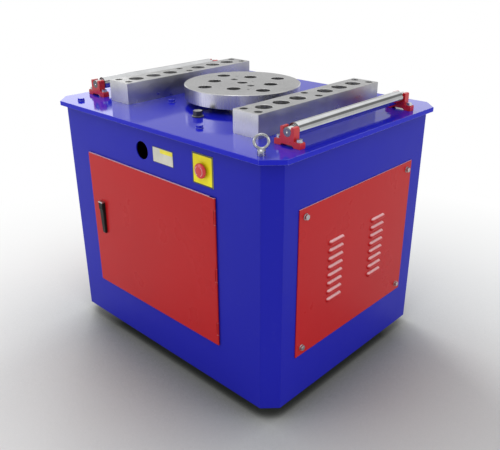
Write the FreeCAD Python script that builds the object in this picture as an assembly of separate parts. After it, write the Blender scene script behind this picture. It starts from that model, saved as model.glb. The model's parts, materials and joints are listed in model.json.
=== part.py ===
import FreeCAD, Part
import math
import os

os.makedirs("parts", exist_ok=True)

# Rebar bending machine: a floor-standing steel cabinet with a thick table, a driven bending disc
# between two drilled support bars, and a feed roller along each side. Millimetres, +Z up.
# The origin is on the floor, below the centre of the disc. The front, with the door, faces -Y.

# Table plate
table_height = 760.0  # floor to the working face
table_width = 926.0
table_depth = 754.0
table_thickness = 13.0
table_corner = 47.0  # leg of each cut corner
table_edge_radius = 1.5
same_place = 0.01  # points closer than this count as one

# Cabinet walls of folded sheet
table_overhang = 17.0  # plate beyond the walls
cabinet_corner = 39.0  # leg of each slanted corner wall
sheet = 3.0
floor_gap = 40.0  # floor to the lower edge of the walls
joint_gap = 0.3  # between pieces that only just clear each other

# Door in the front wall
door_from_left = 140.0  # left end of the wall to the door
door_from_right = 191.0
door_from_foot = 136.0  # foot of the wall to the door
door_from_table = 142.0  # working face down to the door
door_skin = 2.0
door_proud = 5.6  # front of the door to the front wall
door_lap = 16.0  # door beyond its opening on each side
door_flange_end = 20.0  # upper and lower folds stop this far from the hinge
knuckle_length = 40.0
knuckle_inset = 33.0  # outer hinges from the ends of the door
hinge_leaf = 12.0
hinge_leaf_thick = 1.7
hinge_pin_radius = 1.4
hinge_pin_reach = 34.0
pin_clearance = 0.08

# Screwed ventilation panels in both side walls
panel_from_wall_end = 98.0  # along Y
panel_shift = -2.4  # off the middle of its wall, to the left seen from outside
panel_from_foot = 136.0
panel_from_table = 148.5
panel_thickness = 2.5
panel_lap = 36.0  # panel beyond its opening on each side
panel_screw_inset = 24.0
panel_screw_radius = 4.0
panel_screw_flats = 13.0
panel_screw_head = 5.0
louvre_length = 66.0
louvre_radius = 7.5  # pressed hood, outside
louvre_below = 5.5  # how far the hood reaches below its own axis
louvre_wall = 1.5
louvre_pitch = 25.1
louvre_count = 8
louvre_from_panel_top = 135.5  # down to the middle of the highest row
louvre_column_y = 99.0
louvre_shift = -3.5  # off the middle of the panel

# Support bars with pin holes
bar_gap = 46.0  # disc to bar
bar_width = 88.0
bar_length = 525.0
bar_height = 63.0
bar_hole_radius = 23.0
bar_hole_first = 60.0  # nearest hole from the middle of the bar
bar_hole_pitch = 67.5
bar_holes_each_way = 3
bar_edge = 1.0
hole_chamfer = 1.0
bar_bolt_x = 25.0
bar_bolt_y = 242.0
bar_counterbore_radius = 11.0
bar_counterbore_depth = 16.0
bar_bolt_radius = 6.0
bar_bolt_head_radius = 9.0
bar_bolt_head = 12.0

# Bending disc
disc_radius = 175.0
disc_thickness = 42.5
disc_gap = 15.5  # table to the underside of the disc
disc_edge = 1.5
disc_hole_radius = 20.75
disc_hole_pitch = 88.0  # square grid of three by three
disc_grid_angle = 27.5
disc_centre_radius = 16.0
disc_bolt_circle_radius = 53.0
disc_bolt_turn = 135.0  # from a row of the grid
disc_bolt_radius = 6.0
disc_bolt_head_radius = 9.0
disc_bolt_head = 12.0
disc_counterbore_radius = 10.5
disc_counterbore_depth = 14.0
dowel_circle_radius = 36.0
dowel_turn = 45.0  # from a row of the grid
dowel_radius = 4.0
jack_hole_radius = 4.0

# Main shaft and its bearing housing
shaft_flange_radius = 65.0
shaft_flange = 13.0
shaft_radius = 35.0
wheel_seat_radius = 30.0
shaft_nut_radius = 42.0
shaft_nut = 14.0
shaft_thread_radius = 25.0
nut_slot_depth = 5.0
nut_slot_half = 4.0
tail_radius = 20.0
tail_end_gap = 5.0  # end of the tail above the foot of its boss
pin_socket_depth = 90.0  # from the top of the disc
housing_radius = 80.0
housing_hole_gap = 1.0
housing_flange_radius = 125.0
housing_flange = 16.0
housing_foot = 15.0
housing_relief_radius = 57.0
housing_lip = 6.0  # land round the upper bearing
housing_floor = 6.0  # below the lower bearing
housing_bolt_circle_radius = 105.0
housing_bolt_count = 6
housing_bolt_flats = 18.0
housing_bolt_head = 7.5
bearing_inset = 4.0  # working face down to the upper bearing
shaft_room = 3.0  # beside the shaft where it passes a wall
top_bearing_radius = 60.0
top_bearing_width = 25.0
low_bearing_radius = 55.0
low_bearing_width = 18.0
bearing_clearance = 0.05
race_groove_share = 0.16  # half width of the groove, of the ring's width
race_groove_depth = 0.12  # of the bearing's width

# Worm drive
gear_module = 5.0
wheel_teeth = 40
worm_pitch_radius = 25.0
pressure_angle = math.radians(20.0)
flank_gap = 0.6  # taken off the thickness of each tooth and of the thread
worm_from_table = 240.0  # working face down to the worm's axis
worm_thread_half = 36.0
thread_steps = 20  # flat steps in each turn of the thread
thread_overlap = 1.0  # how deep the thread sits in the worm's core
worm_shoulder = 6.0  # plain core beyond the thread
worm_end_gap = 1.0
flank_points = 3  # on each side of a wheel tooth
wheel_face = 36.0
wheel_rim_bore = 75.0
wheel_hub_length = 44.0
wheel_hub_wall = 16.0
wheel_web_half = 7.0
wheel_flange = 12.0  # below the rim
case_wall = 12.0
case_clearance = 12.0
case_cavity_height = 102.0
case_drop = 6.0  # cavity's middle below the worm's axis
worm_journal_radius = 17.5
worm_bearing_radius = 36.0
worm_bearing_width = 17.0
boss_radius = 46.0
boss_length = 20.0
cap_thickness = 8.0
cap_bolt_circle_radius = 41.0
cap_bolt_radius = 2.5
cap_bolt_grip = 12.0
cap_bolt_flats = 8.0
cap_bolt_head = 4.0
cover_bolt_radius = 4.0
cover_bolt_grip = 20.0
cover_bolt_flats = 10.0
cover_bolt_head = 5.0
foot_bolt_radius = 5.0
foot_bolt_flats = 16.0
foot_bolt_head = 7.0
foot_bolt_gap = 0.75  # from the head's corners to the housing's wall
foot_bolt_land = 10.0  # from the bolts' circle to the rim of the foot
tail_boss_radius = 52.0
tail_boss = 14.0
tail_boss_floor = 3.0
tail_room = 4.0
tail_bearing_radius = 40.0
tail_bearing_width = 18.0

# Belt drive
small_pitch_radius = 50.0
large_pitch_radius = 125.0
groove_rise = 4.2  # pulley rim above the pitch line
belt_count = 2
belt_pitch = 19.0
groove_top = 17.6
groove_angle = math.radians(19.0)
groove_depth = 14.0
belt_height = 10.5
belt_gap = 0.35
belt_back_drop = 0.5  # back of the belt below the pulley's rim
pulley_edge = 12.5
pulley_centre_x = 323.0
pulley_hub_radius = 34.0
pulley_web = 14.0
pulley_rim = 8.0
pulley_window_radius = 20.0
pulley_window_circle_radius = 76.0
pulley_window_count = 5

# Motor
motor_height = 100.0  # axis above its feet
motor_body_radius = 84.0
motor_fin_radius = 97.0
motor_fin_count = 36
motor_fin_half = 2.0
motor_body_left = 70.0
motor_body_right = 270.0
motor_bore_radius = 46.0
motor_shield = 22.0
motor_end_wall = 6.0  # outside each motor bearing
motor_shaft_room = 2.0
motor_fin_root = 4.0
rotor_radius = 45.0
rotor_left = 105.0
rotor_right = 235.0
motor_shaft_radius = 14.0
motor_bearing_radius = 31.0
motor_bearing_width = 16.0
motor_foot_width = 34.0
motor_foot_thick = 12.0
motor_foot_y = 80.0
motor_riser = 6.0
motor_foot_half = 62.0
motor_bolt_radius = 5.0
motor_bolt_flats = 16.0
motor_bolt_head = 7.0
fan_radius = 78.0
fan_hub_radius = 24.0
fan_blades = 7
fan_length = 30.0
fan_gap = 12.0  # motor to the fan
fan_shaft_end = 4.0
fan_back = 3.0
fan_back_inset = 12.0
fan_blade_root = 2.0
fan_blade_half = 1.5
fan_cover_length = 67.0
fan_cover_wall = 2.0
fan_cover_rise = 4.0  # cover beyond the motor's frame
fan_cover_lap = 8.0
fan_slot_count = 8
fan_slot_half = 6.0
fan_slot_rim = 14.0  # outer end of a slot to the rim
terminal_side = 90.0
terminal_height = 46.0
terminal_lid = 6.0
terminal_lid_lap = 2.0
terminal_pad_inset = 12.0
terminal_pad_depth = 20.0
terminal_rise = 2.0  # pad above the fins
gland_radius = 9.0
gland_length = 16.0
gland_drop = 4.0

# Base frame of square tube
rail = 50.0
rail_wall = 4.0
rail_end_gap = 7.0  # long rails stop short of the slanted corners
post = 40.0
post_wall = 3.0
motor_plate = 8.0
motor_plate_left = 35.0
motor_plate_half = 110.0

# Levelling feet
foot_from_side = 146.0  # side wall to the foot's axis
foot_from_front = 125.0
foot_pad_radius = 32.0
foot_pad = 14.0
foot_pad_rim = 8.4
foot_neck = 4.0
foot_stud_radius = 8.0
foot_stud_above = 12.0
foot_nut = 13.0
foot_nut_flats = 24.0

# Feed rollers and their brackets
roller_from_edge = 66.0  # end of the table to the roller's axis
roller_height = 36.0  # axis above the table
roller_radius = 18.0
roller_shoulder_radius = 14.0
roller_shoulder = 4.5
roller_stub_radius = 12.0
roller_clearance = 1.5  # beside each bracket
roller_fit = 0.06
centre_drill_radius = 3.2
centre_drill_depth = 5.0
bracket_from_edge = 129.0  # front edge of the table to the middle of a bracket
bracket_thickness = 20.0
bracket_length = 81.0
bracket_base = 15.0
bracket_foot_radius = 4.0
bracket_root_radius = 1.8
bracket_arch_half = 16.0
bracket_arch = 5.0
bracket_post_half = 21.5
bracket_post_top = 52.0
bracket_post_radius = 6.0
bracket_bolt_x = 31.5
bracket_bolt_radius = 4.0
bracket_bolt_flats = 13.0
bracket_bolt_head = 5.3
bracket_washer_radius = 8.0
bracket_washer = 1.6

# Fittings on the table
eye_from_edge_x = 65.0
eye_from_edge_y = 29.0
eye_ring_radius = 16.6
eye_wire_radius = 3.8
eye_height = 32.7
eye_collar_radius = 10.0
eye_collar = 12.5
eye_neck_radius = 6.0
eye_turn = -47.0  # direction that the ring faces, from +X
plug_x = 33.0
plug_y = -213.0
plug_flange_radius = 17.0
plug_flange = 3.0
plug_flats = 24.0
plug_head = 17.0
plug_thread_radius = 9.0
corner_bolt_from_edge_x = 91.0
corner_bolt_from_edge_y = 47.0
front_bolt_x = 123.5
front_bolt_from_edge = 88.0
side_bolt_x = -153.0
side_bolt_y = -152.0
table_bolt_flats = 17.0
table_bolt_head = 8.0
table_bolt_flange_radius = 10.8
table_bolt_flange = 1.6
table_bolt_radius = 5.0
bolt_clearance = 0.3

# Front controls
cable_hole_from_middle = 13.5  # left of the door's middle
cable_hole_from_table = 80.0
cable_hole_radius = 26.0
stop_from_door = 45.5  # left of the door's right edge
stop_from_table = 78.0
stop_plate_width = 76.0
stop_plate_height = 83.0
stop_plate = 1.2
stop_barrel_radius = 11.0
stop_bezel_radius = 13.0
stop_bezel = 2.5
stop_stem_radius = 5.0
stop_travel = 4.0
stop_cap_radius = 20.0
stop_cap_front = 14.0  # face of the cap beyond the plate
stop_cap_thick = 9.0
stop_cap_hollow_radius = 15.0  # room for the collar when the cap is pressed
stop_cap_hollow = 3.0
stop_cap_skin = 2.7  # face of the cap to the bottom of its bore
stop_dome = 5.0
stop_dome_steps = 8
stop_back_edge = 1.5
stop_nut_flats = 28.0
stop_nut = 6.0
stop_block_half = 15.0
stop_block_gap = 12.0  # wall to the block
stop_block = 46.0
stop_block_floor = 8.0
stop_stem_gap = 4.0

# Door handle and latch
handle_from_door_edge = 52.0
handle_from_door_top = 148.5
handle_length = 106.5
handle_pivot_drop = 15.0  # top of the handle down to its pivot
handle_head_width = 20.5
handle_head = 25.0  # height of the square head
handle_top_width = 20.0
handle_tip_width = 15.5
handle_thick = 9.0
handle_tip_thick = 7.0
handle_head_thick = 12.0
handle_ridge = 2.5  # height of the ridge along the lever
handle_corner = 3.0
spindle_radius = 5.0
spindle_fit = 0.06
cam_face_gap = 0.5  # tongue behind the wall
cam_length = 55.0
cam_width = 18.0
cam_thick = 3.0
cam_nut = 5.0
cam_nut_flats = 16.0

# Electrical box on the rear wall
box_from_side = 113.0  # left wall's inner face to the box
box_from_table = 210.0
box_width = 240.0
box_height = 300.0
box_depth = 110.0
box_wall = 2.0
box_lid = 12.0
contactor_width = 52.0
contactor_height = 84.0
contactor_depth = 70.0
contactor_gap_half = 8.0
contactor_step_depth = 28.0
contactor_step = 20.0
mount_rail = 8.0
mount_rail_half = 17.0
mount_rail_inset = 30.0

# Sizes worked out from the ones above
table_under = table_height - table_thickness
wall_x = table_width / 2 - table_overhang
wall_y = table_depth / 2 - table_overhang
inner_x = wall_x - sheet
inner_y = wall_y - sheet
door_left = -wall_x + door_from_left
door_right = wall_x - door_from_right
door_bottom = floor_gap + door_from_foot
door_top = table_height - door_from_table
knuckle_heights = (
    door_bottom + knuckle_inset,
    (door_bottom + door_top - knuckle_length) / 2,
    door_top - knuckle_inset - knuckle_length,
)
panel_depth = 2 * (wall_y - panel_from_wall_end)
panel_bottom = floor_gap + panel_from_foot
panel_top = table_height - panel_from_table
louvre_top = panel_top - louvre_from_panel_top
bar_centre_x = disc_radius + bar_gap + bar_width / 2
disc_bottom = table_height + disc_gap
disc_top = disc_bottom + disc_thickness
worm_height = table_height - worm_from_table
wheel_pitch_radius = gear_module * wheel_teeth / 2
centre_distance = wheel_pitch_radius + worm_pitch_radius
worm_y = -centre_distance
worm_tip_radius = worm_pitch_radius + gear_module
worm_root_radius = worm_pitch_radius - 1.25 * gear_module
wheel_tip_radius = wheel_pitch_radius + gear_module
wheel_root_radius = wheel_pitch_radius - 1.25 * gear_module
axial_pitch = math.pi * gear_module
case_x = wheel_tip_radius + case_clearance + case_wall
case_front = worm_y - worm_tip_radius - case_clearance - case_wall
case_rear = case_x
case_floor = worm_height - case_cavity_height / 2 - case_drop
case_ceiling = case_floor + case_cavity_height
case_top = case_ceiling + case_wall
foot_bolt_circle_radius = housing_radius + foot_bolt_flats / math.sqrt(3) + foot_bolt_gap
cover_bottom = case_floor - case_wall
rail_top = floor_gap + rail
rail_y = inner_y - rail / 2
side_rail_x = inner_x - rail / 2
long_rail_half = wall_x - cabinet_corner - rail_end_gap
foot_x = wall_x - foot_from_side
foot_y = wall_y - foot_from_front
motor_rail_x = motor_plate_left + rail / 2
motor_plate_right = foot_x + rail / 2
cross_rails_x = (-side_rail_x, -foot_x, motor_rail_x, foot_x, side_rail_x)
motor_floor = rail_top + motor_plate
motor_z = motor_floor + motor_height
motor_y = worm_y
pulley_width = 2 * pulley_edge + belt_pitch * (belt_count - 1)
roller_x = table_width / 2 - roller_from_edge
roller_z = table_height + roller_height
bracket_y = table_depth / 2 - bracket_from_edge
bracket_inner = bracket_y - bracket_thickness / 2
bracket_outer = bracket_y + bracket_thickness / 2
door_face = -wall_y - door_proud
door_skin_back = door_face + door_skin
knuckle_radius = (door_proud - joint_gap) / 2
hinge_x = door_right - knuckle_radius
hinge_y = door_face + knuckle_radius
eye_x = table_width / 2 - eye_from_edge_x
eye_y = -table_depth / 2 + eye_from_edge_y
cable_hole_x = (door_left + door_right) / 2 - cable_hole_from_middle
cable_hole_z = table_height - cable_hole_from_table
stop_x = door_right - stop_from_door
stop_z = table_height - stop_from_table
stop_face = -wall_y - stop_plate
stop_block_front = -inner_y + stop_block_gap
handle_x = door_left + handle_from_door_edge
handle_top = door_top - handle_from_door_top
handle_bottom = handle_top - handle_length
handle_pivot_z = handle_top - handle_pivot_drop
handle_face = door_face - joint_gap
cam_face = -inner_y + cam_face_gap
post_x = inner_x - post / 2
post_y = inner_y - rail - post / 2
box_left = -inner_x + box_from_side
box_right = box_left + box_width
box_top = table_height - box_from_table
box_bottom = box_top - box_height
opening_left = door_left + door_lap
opening_right = door_right - door_lap
opening_bottom = door_bottom + door_lap
opening_top = door_top - door_lap

X_AXIS = FreeCAD.Vector(1, 0, 0)
Y_AXIS = FreeCAD.Vector(0, 1, 0)
Z_AXIS = FreeCAD.Vector(0, 0, 1)
ORIGIN = FreeCAD.Vector(0, 0, 0)


def at(x, y, z):
    """A point."""
    return FreeCAD.Vector(x, y, z)


def box(x0, x1, y0, y1, z0, z1):
    """A block between two opposite corners."""
    return Part.makeBox(x1 - x0, y1 - y0, z1 - z0, at(x0, y0, z0))


def rod(start, axis, radius, length):
    """A round bar that grows from start along axis."""
    return Part.makeCylinder(radius, length, start, axis)


def ring(start, axis, outer, inner, length):
    """A plain tube or washer."""
    return rod(start, axis, outer, length).cut(rod(start, axis, inner, length))


def face_of(points):
    """A flat face with straight edges through the points."""
    return Part.Face(Part.makePolygon(list(points) + [points[0]]))


def slab(outline, z0, z1):
    """A level plate with an outline of (x, y) points."""
    return face_of([at(x, y, z0) for x, y in outline]).extrude(at(0, 0, z1 - z0))


def turned(profile, start=ORIGIN, axis=Z_AXIS):
    """A turned piece: profile holds (radius, distance along the axis) points."""
    face = face_of([at(r, 0, h) for r, h in profile])
    solid = face.revolve(ORIGIN, Z_AXIS, 360)
    solid.Placement = FreeCAD.Placement(start, FreeCAD.Rotation(Z_AXIS, axis))
    return solid


def joined(shapes):
    """One solid from pieces that share volume or faces."""
    first = shapes[0]
    if len(shapes) > 1:
        first = first.fuse(shapes[1:])
    return first.removeSplitter()


def bored(shape, cutters):
    """The shape with every cutter taken out of it."""
    if not cutters:
        return shape
    return shape.cut(Part.makeCompound(cutters))


def polar(radius, degrees):
    """x and y at a radius and an angle from +X."""
    turn = math.radians(degrees)
    return radius * math.cos(turn), radius * math.sin(turn)


def octagon(half_x, half_y, leg):
    """A rectangle outline with its four corners cut off."""
    a = half_x - leg
    b = half_y - leg
    return [
        (-a, -half_y), (a, -half_y), (half_x, -b), (half_x, b),
        (a, half_y), (-a, half_y), (-half_x, b), (-half_x, -b),
    ]


def prism(start, axis, corner_radius, sides, height):
    """A bar with equal flat sides that grows from start along axis."""
    points = [at(*polar(corner_radius, 360 * k / sides), 0) for k in range(sides)]
    solid = face_of(points).extrude(at(0, 0, height))
    solid.Placement = FreeCAD.Placement(start, FreeCAD.Rotation(Z_AXIS, axis))
    return solid


def hex_head(start, axis, flats, height):
    """A six-sided bolt head or nut."""
    return prism(start, axis, flats / math.sqrt(3), 6, height)


def hex_bolt(seat, axis, flats, head, radius, length):
    """A hex bolt whose head stands on seat, along axis, with its shank going the other way."""
    back = FreeCAD.Vector(axis) * -1
    return joined([hex_head(seat, axis, flats, head), rod(seat, back, radius, length)])


def level_edges(solid, height):
    """All edges that lie at one height."""
    return [e for e in solid.Edges if all(abs(v.Point.z - height) < same_place for v in e.Vertexes)]


def rim_chamfer(x, y, top, radius):
    """A cutter for the small chamfer round a hole's upper rim."""
    return Part.makeCone(radius, radius + hole_chamfer, hole_chamfer, at(x, y, top - hole_chamfer))


def socket_bolt(seat, axis, head_radius, head, radius, length):
    """A socket-head screw whose head stands on seat, along axis."""
    back = FreeCAD.Vector(axis) * -1
    body = joined([rod(seat, axis, head_radius, head), rod(seat, back, radius, length)])
    mouth = seat + FreeCAD.Vector(axis) * (head * 0.4)
    return body.cut(hex_head(mouth, axis, head_radius, head))


def square_tube(x0, x1, y0, y1, z0, z1, wall, along):
    """A square tube, open at both ends, along x, y or z."""
    inset = {"x": (0, wall, wall), "y": (wall, 0, wall), "z": (wall, wall, 0)}[along]
    inner = box(
        x0 + inset[0], x1 - inset[0], y0 + inset[1], y1 - inset[1], z0 + inset[2], z1 - inset[2]
    )
    return box(x0, x1, y0, y1, z0, z1).cut(inner)


def save(name, shape):
    """Write one sub-part: a solid, or a list of separate solids that share a node."""
    if isinstance(shape, list):
        shape = Part.makeCompound(shape)
    solids = len(shape.Solids)
    print(f"{name}: {solids} solid(s), valid {shape.isValid()}, {shape.Volume / 1000:.1f} cm3")
    shape.exportStep(f"parts/{name}.step")


# Positions that several pieces share

def disc_grid(column, row):
    """A place on the disc's hole grid, counted in holes from the middle."""
    x = column * disc_hole_pitch
    y = row * disc_hole_pitch
    turn = math.radians(disc_grid_angle)
    return x * math.cos(turn) - y * math.sin(turn), x * math.sin(turn) + y * math.cos(turn)


def disc_pin_places():
    """The eight pin holes around the disc's centre hole."""
    steps = (-1, 0, 1)
    return [disc_grid(c, r) for c in steps for r in steps if (c, r) != (0, 0)]


def disc_bolt_places():
    """Two bolts on one diagonal of the grid."""
    return [polar(disc_bolt_circle_radius, disc_grid_angle + disc_bolt_turn + half) for half in (0, 180)]


def dowel_places():
    """Two dowels on the other diagonal."""
    return [polar(dowel_circle_radius, disc_grid_angle + dowel_turn + half) for half in (0, 180)]


def bar_hole_rows():
    """Distances of a bar's pin holes from its middle."""
    out = [bar_hole_first + k * bar_hole_pitch for k in range(bar_holes_each_way)]
    return [-y for y in reversed(out)] + out


def bar_bolt_places(side):
    """Six screws in each bar."""
    x = side * bar_centre_x
    return [(x + dx, y) for y in (-bar_bolt_y, 0, bar_bolt_y) for dx in (-bar_bolt_x, bar_bolt_x)]


def bracket_bolt_places():
    """Two screws in the feet of each of the four roller brackets."""
    return [
        (sx * roller_x + dx, sy * bracket_y)
        for sx in (-1, 1) for sy in (-1, 1) for dx in (-bracket_bolt_x, bracket_bolt_x)
    ]


def housing_bolt_places():
    """Bolts that hang the bearing housing from the table, hidden below the disc."""
    step = 360 / housing_bolt_count
    return [polar(housing_bolt_circle_radius, step * k) for k in range(housing_bolt_count)]


def panel_screw_places():
    """y and z of the screws at the right panel's corners; the left panel is turned half round."""
    y = panel_depth / 2 - panel_screw_inset
    return [
        (panel_shift + sy * y, z) for sy in (-1, 1)
        for z in (panel_bottom + panel_screw_inset, panel_top - panel_screw_inset)
    ]


# Table

def table_plate():
    plate = slab(octagon(table_width / 2, table_depth / 2, table_corner), table_under, table_height)
    plate = plate.makeFillet(table_edge_radius, level_edges(plate, table_height))
    holes = [(0, 0, housing_radius + housing_hole_gap)]
    holes += [(x, y, bar_bolt_radius + bolt_clearance) for s in (-1, 1) for x, y in bar_bolt_places(s)]
    holes += [(x, y, bracket_bolt_radius + bolt_clearance) for x, y in bracket_bolt_places()]
    holes += [(x, y, bar_bolt_radius + bolt_clearance) for x, y in housing_bolt_places()]
    holes += [(x, y, table_bolt_radius + bolt_clearance) for x, y in table_bolt_places()]
    holes.append((eye_x, eye_y, eye_neck_radius + bolt_clearance))
    holes.append((plug_x, plug_y, plug_thread_radius + bolt_clearance))
    return bored(plate, [rod(at(x, y, table_under), Z_AXIS, r, table_thickness) for x, y, r in holes])


def support_bar(side):
    """A solid steel bar with six pin holes and six counterbored screw holes."""
    x = side * bar_centre_x
    half = bar_width / 2
    top = table_height + bar_height
    bar = box(x - half, x + half, -bar_length / 2, bar_length / 2, table_height, top)
    bar = bar.makeChamfer(bar_edge, level_edges(bar, top))
    cuts = [rod(at(x, y, table_height), Z_AXIS, bar_hole_radius, bar_height) for y in bar_hole_rows()]
    cuts += [rim_chamfer(x, y, top, bar_hole_radius) for y in bar_hole_rows()]
    for bx, by in bar_bolt_places(side):
        cuts.append(rod(at(bx, by, table_height), Z_AXIS, bar_bolt_radius + bolt_clearance, bar_height))
        mouth = at(bx, by, top - bar_counterbore_depth)
        cuts.append(rod(mouth, Z_AXIS, bar_counterbore_radius, bar_counterbore_depth))
    return bored(bar, cuts)


def bar_bolts():
    seat = table_height + bar_height - bar_counterbore_depth
    reach = seat - table_under
    places = bar_bolt_places(-1) + bar_bolt_places(1)
    return [
        socket_bolt(at(x, y, seat), Z_AXIS, bar_bolt_head_radius, bar_bolt_head, bar_bolt_radius, reach)
        for x, y in places
    ]


def housing_bolts():
    reach = table_thickness + housing_flange
    return [
        hex_bolt(at(x, y, table_height), Z_AXIS, housing_bolt_flats, housing_bolt_head,
                 bar_bolt_radius, reach)
        for x, y in housing_bolt_places()
    ]


def table_bolt_places():
    """One bolt near the front left corner, one near the front edge, one beside the disc."""
    corner = (
        -table_width / 2 + corner_bolt_from_edge_x,
        -table_depth / 2 + corner_bolt_from_edge_y,
    )
    front = (front_bolt_x, -table_depth / 2 + front_bolt_from_edge)
    return [corner, front, (side_bolt_x, side_bolt_y)]


def table_bolts():
    """Flanged hex bolts, painted with the table."""
    bolts = []
    for x, y in table_bolt_places():
        seat = at(x, y, table_height)
        flange = rod(seat, Z_AXIS, table_bolt_flange_radius, table_bolt_flange)
        bolt = hex_bolt(seat, Z_AXIS, table_bolt_flats, table_bolt_head,
                        table_bolt_radius, table_thickness)
        bolts.append(joined([flange, bolt]))
    return bolts


def filler_plug():
    seat = at(plug_x, plug_y, table_height)
    flange = rod(seat, Z_AXIS, plug_flange_radius, plug_flange)
    head = hex_head(seat, Z_AXIS, plug_flats, plug_head)
    thread = rod(at(plug_x, plug_y, table_under), Z_AXIS, plug_thread_radius, table_thickness)
    return joined([flange, head, thread])


def lifting_eye():
    """A ring on a short neck and collar, with its thread in the table."""
    facing = at(*polar(1, eye_turn), 0)
    middle = at(eye_x, eye_y, table_height + eye_height)
    ring_solid = Part.makeTorus(eye_ring_radius, eye_wire_radius, middle, facing)
    neck_top = eye_height - eye_ring_radius
    neck = [
        (0, -table_thickness), (eye_neck_radius, -table_thickness), (eye_neck_radius, 0),
        (eye_collar_radius, 0), (eye_collar_radius, eye_collar), (eye_neck_radius, neck_top),
        (0, neck_top),
    ]
    return joined([turned(neck, at(eye_x, eye_y, table_height)), ring_solid])


# Bending disc and main shaft

def bending_disc():
    edge = disc_radius - disc_edge
    disc = turned([
        (0, disc_bottom), (edge, disc_bottom), (disc_radius, disc_bottom + disc_edge),
        (disc_radius, disc_top - disc_edge), (edge, disc_top), (0, disc_top),
    ])
    cuts = [rod(at(0, 0, disc_bottom), Z_AXIS, disc_centre_radius, disc_thickness)]
    cuts.append(rim_chamfer(0, 0, disc_top, disc_centre_radius))
    for x, y in disc_pin_places():
        cuts.append(rod(at(x, y, disc_bottom), Z_AXIS, disc_hole_radius, disc_thickness))
        cuts.append(rim_chamfer(x, y, disc_top, disc_hole_radius))
    for x, y in disc_bolt_places():
        cuts.append(rod(at(x, y, disc_bottom), Z_AXIS, disc_bolt_radius + bolt_clearance, disc_thickness))
        mouth = at(x, y, disc_top - disc_counterbore_depth)
        cuts.append(rod(mouth, Z_AXIS, disc_counterbore_radius, disc_counterbore_depth))
    for x, y in dowel_places():
        cuts.append(rod(at(x, y, disc_bottom), Z_AXIS, dowel_radius, disc_thickness))
    for x, y in (disc_grid(-0.5, 1), disc_grid(0.5, -1)):
        cuts.append(rod(at(x, y, disc_bottom), Z_AXIS, jack_hole_radius, disc_thickness))
    return bored(disc, cuts)


def disc_bolts():
    seat = disc_top - disc_counterbore_depth
    reach = seat - (disc_bottom - shaft_flange)
    return [
        socket_bolt(at(x, y, seat), Z_AXIS, disc_bolt_head_radius, disc_bolt_head,
                    disc_bolt_radius, reach)
        for x, y in disc_bolt_places()
    ]


def disc_dowels():
    foot = disc_bottom - shaft_flange
    length = disc_top - foot - 1.0
    return [rod(at(x, y, foot), Z_AXIS, dowel_radius, length) for x, y in dowel_places()]


def main_shaft():
    """Flanged vertical shaft: disc on top, worm wheel below, tail in the case's lower bearing."""
    shoulder = worm_height + wheel_hub_length / 2
    seat_end = worm_height - wheel_hub_length / 2
    thread_end = seat_end - shaft_nut - 2.0
    tail_end = cover_bottom - tail_boss + tail_end_gap
    profile = [
        (0, disc_bottom), (shaft_flange_radius, disc_bottom),
        (shaft_flange_radius, disc_bottom - shaft_flange), (shaft_radius, disc_bottom - shaft_flange),
        (shaft_radius, shoulder), (wheel_seat_radius, shoulder), (wheel_seat_radius, seat_end),
        (shaft_thread_radius, seat_end), (shaft_thread_radius, thread_end),
        (tail_radius, thread_end), (tail_radius, tail_end), (0, tail_end),
    ]
    socket = rod(at(0, 0, disc_top - pin_socket_depth), Z_AXIS, disc_centre_radius, pin_socket_depth)
    cuts = [socket]
    foot = disc_bottom - shaft_flange
    for x, y in disc_bolt_places():
        cuts.append(rod(at(x, y, foot), Z_AXIS, disc_bolt_radius + bolt_clearance, shaft_flange))
    for x, y in dowel_places():
        cuts.append(rod(at(x, y, foot), Z_AXIS, dowel_radius, shaft_flange))
    return bored(turned(profile), cuts)


def shaft_nut_ring():
    top = worm_height - wheel_hub_length / 2
    nut = ring(at(0, 0, top - shaft_nut), Z_AXIS, shaft_nut_radius, shaft_thread_radius, shaft_nut)
    slots = []
    for k in range(4):
        slot = box(shaft_nut_radius - nut_slot_depth, shaft_nut_radius + nut_slot_half,
                   -nut_slot_half, nut_slot_half, top - shaft_nut, top)
        slot.rotate(ORIGIN, Z_AXIS, 90 * k)
        slots.append(slot)
    return bored(nut, slots)


def bearing_housing():
    """Cast sleeve that hangs from the table and carries the worm case."""
    top = table_height
    flange_top = table_under
    flange_low = table_under - housing_flange
    foot_top = case_top + housing_foot
    foot_radius = foot_bolt_circle_radius + foot_bolt_land
    upper_seat = top - bearing_inset
    upper_floor = upper_seat - top_bearing_width
    lower_floor = case_top + housing_floor
    lower_seat = lower_floor + low_bearing_width
    profile = [
        (top_bearing_radius, upper_seat), (top_bearing_radius + housing_lip, upper_seat),
        (top_bearing_radius + housing_lip, top), (housing_radius, top), (housing_radius, flange_top),
        (housing_flange_radius, flange_top), (housing_flange_radius, flange_low),
        (housing_radius, flange_low), (housing_radius, foot_top), (foot_radius, foot_top),
        (foot_radius, case_top), (shaft_radius + shaft_room, case_top),
        (shaft_radius + shaft_room, lower_floor), (low_bearing_radius, lower_floor),
        (low_bearing_radius, lower_seat), (housing_relief_radius, lower_seat),
        (housing_relief_radius, upper_floor), (top_bearing_radius, upper_floor),
    ]
    solid = turned(profile)
    cuts = [
        rod(at(x, y, flange_low), Z_AXIS, bar_bolt_radius + bolt_clearance, housing_flange)
        for x, y in housing_bolt_places()
    ]
    cuts += [
        rod(at(x, y, case_top), Z_AXIS, foot_bolt_radius, housing_foot)
        for x, y in housing_foot_places()
    ]
    return bored(solid, cuts)


def bearing_ring(start, axis, outer, inner, width):
    """A ball bearing as one ring, with the groove between its races on both faces."""
    middle = (outer + inner) / 2
    half = (outer - inner) * race_groove_share
    dip = width * race_groove_depth
    body = ring(start, axis, outer, inner, width)
    low = ring(start, axis, middle + half, middle - half, dip)
    high = ring(start + FreeCAD.Vector(axis) * (width - dip), axis, middle + half, middle - half, dip)
    return bored(body, [low, high])


# Worm drive

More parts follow.
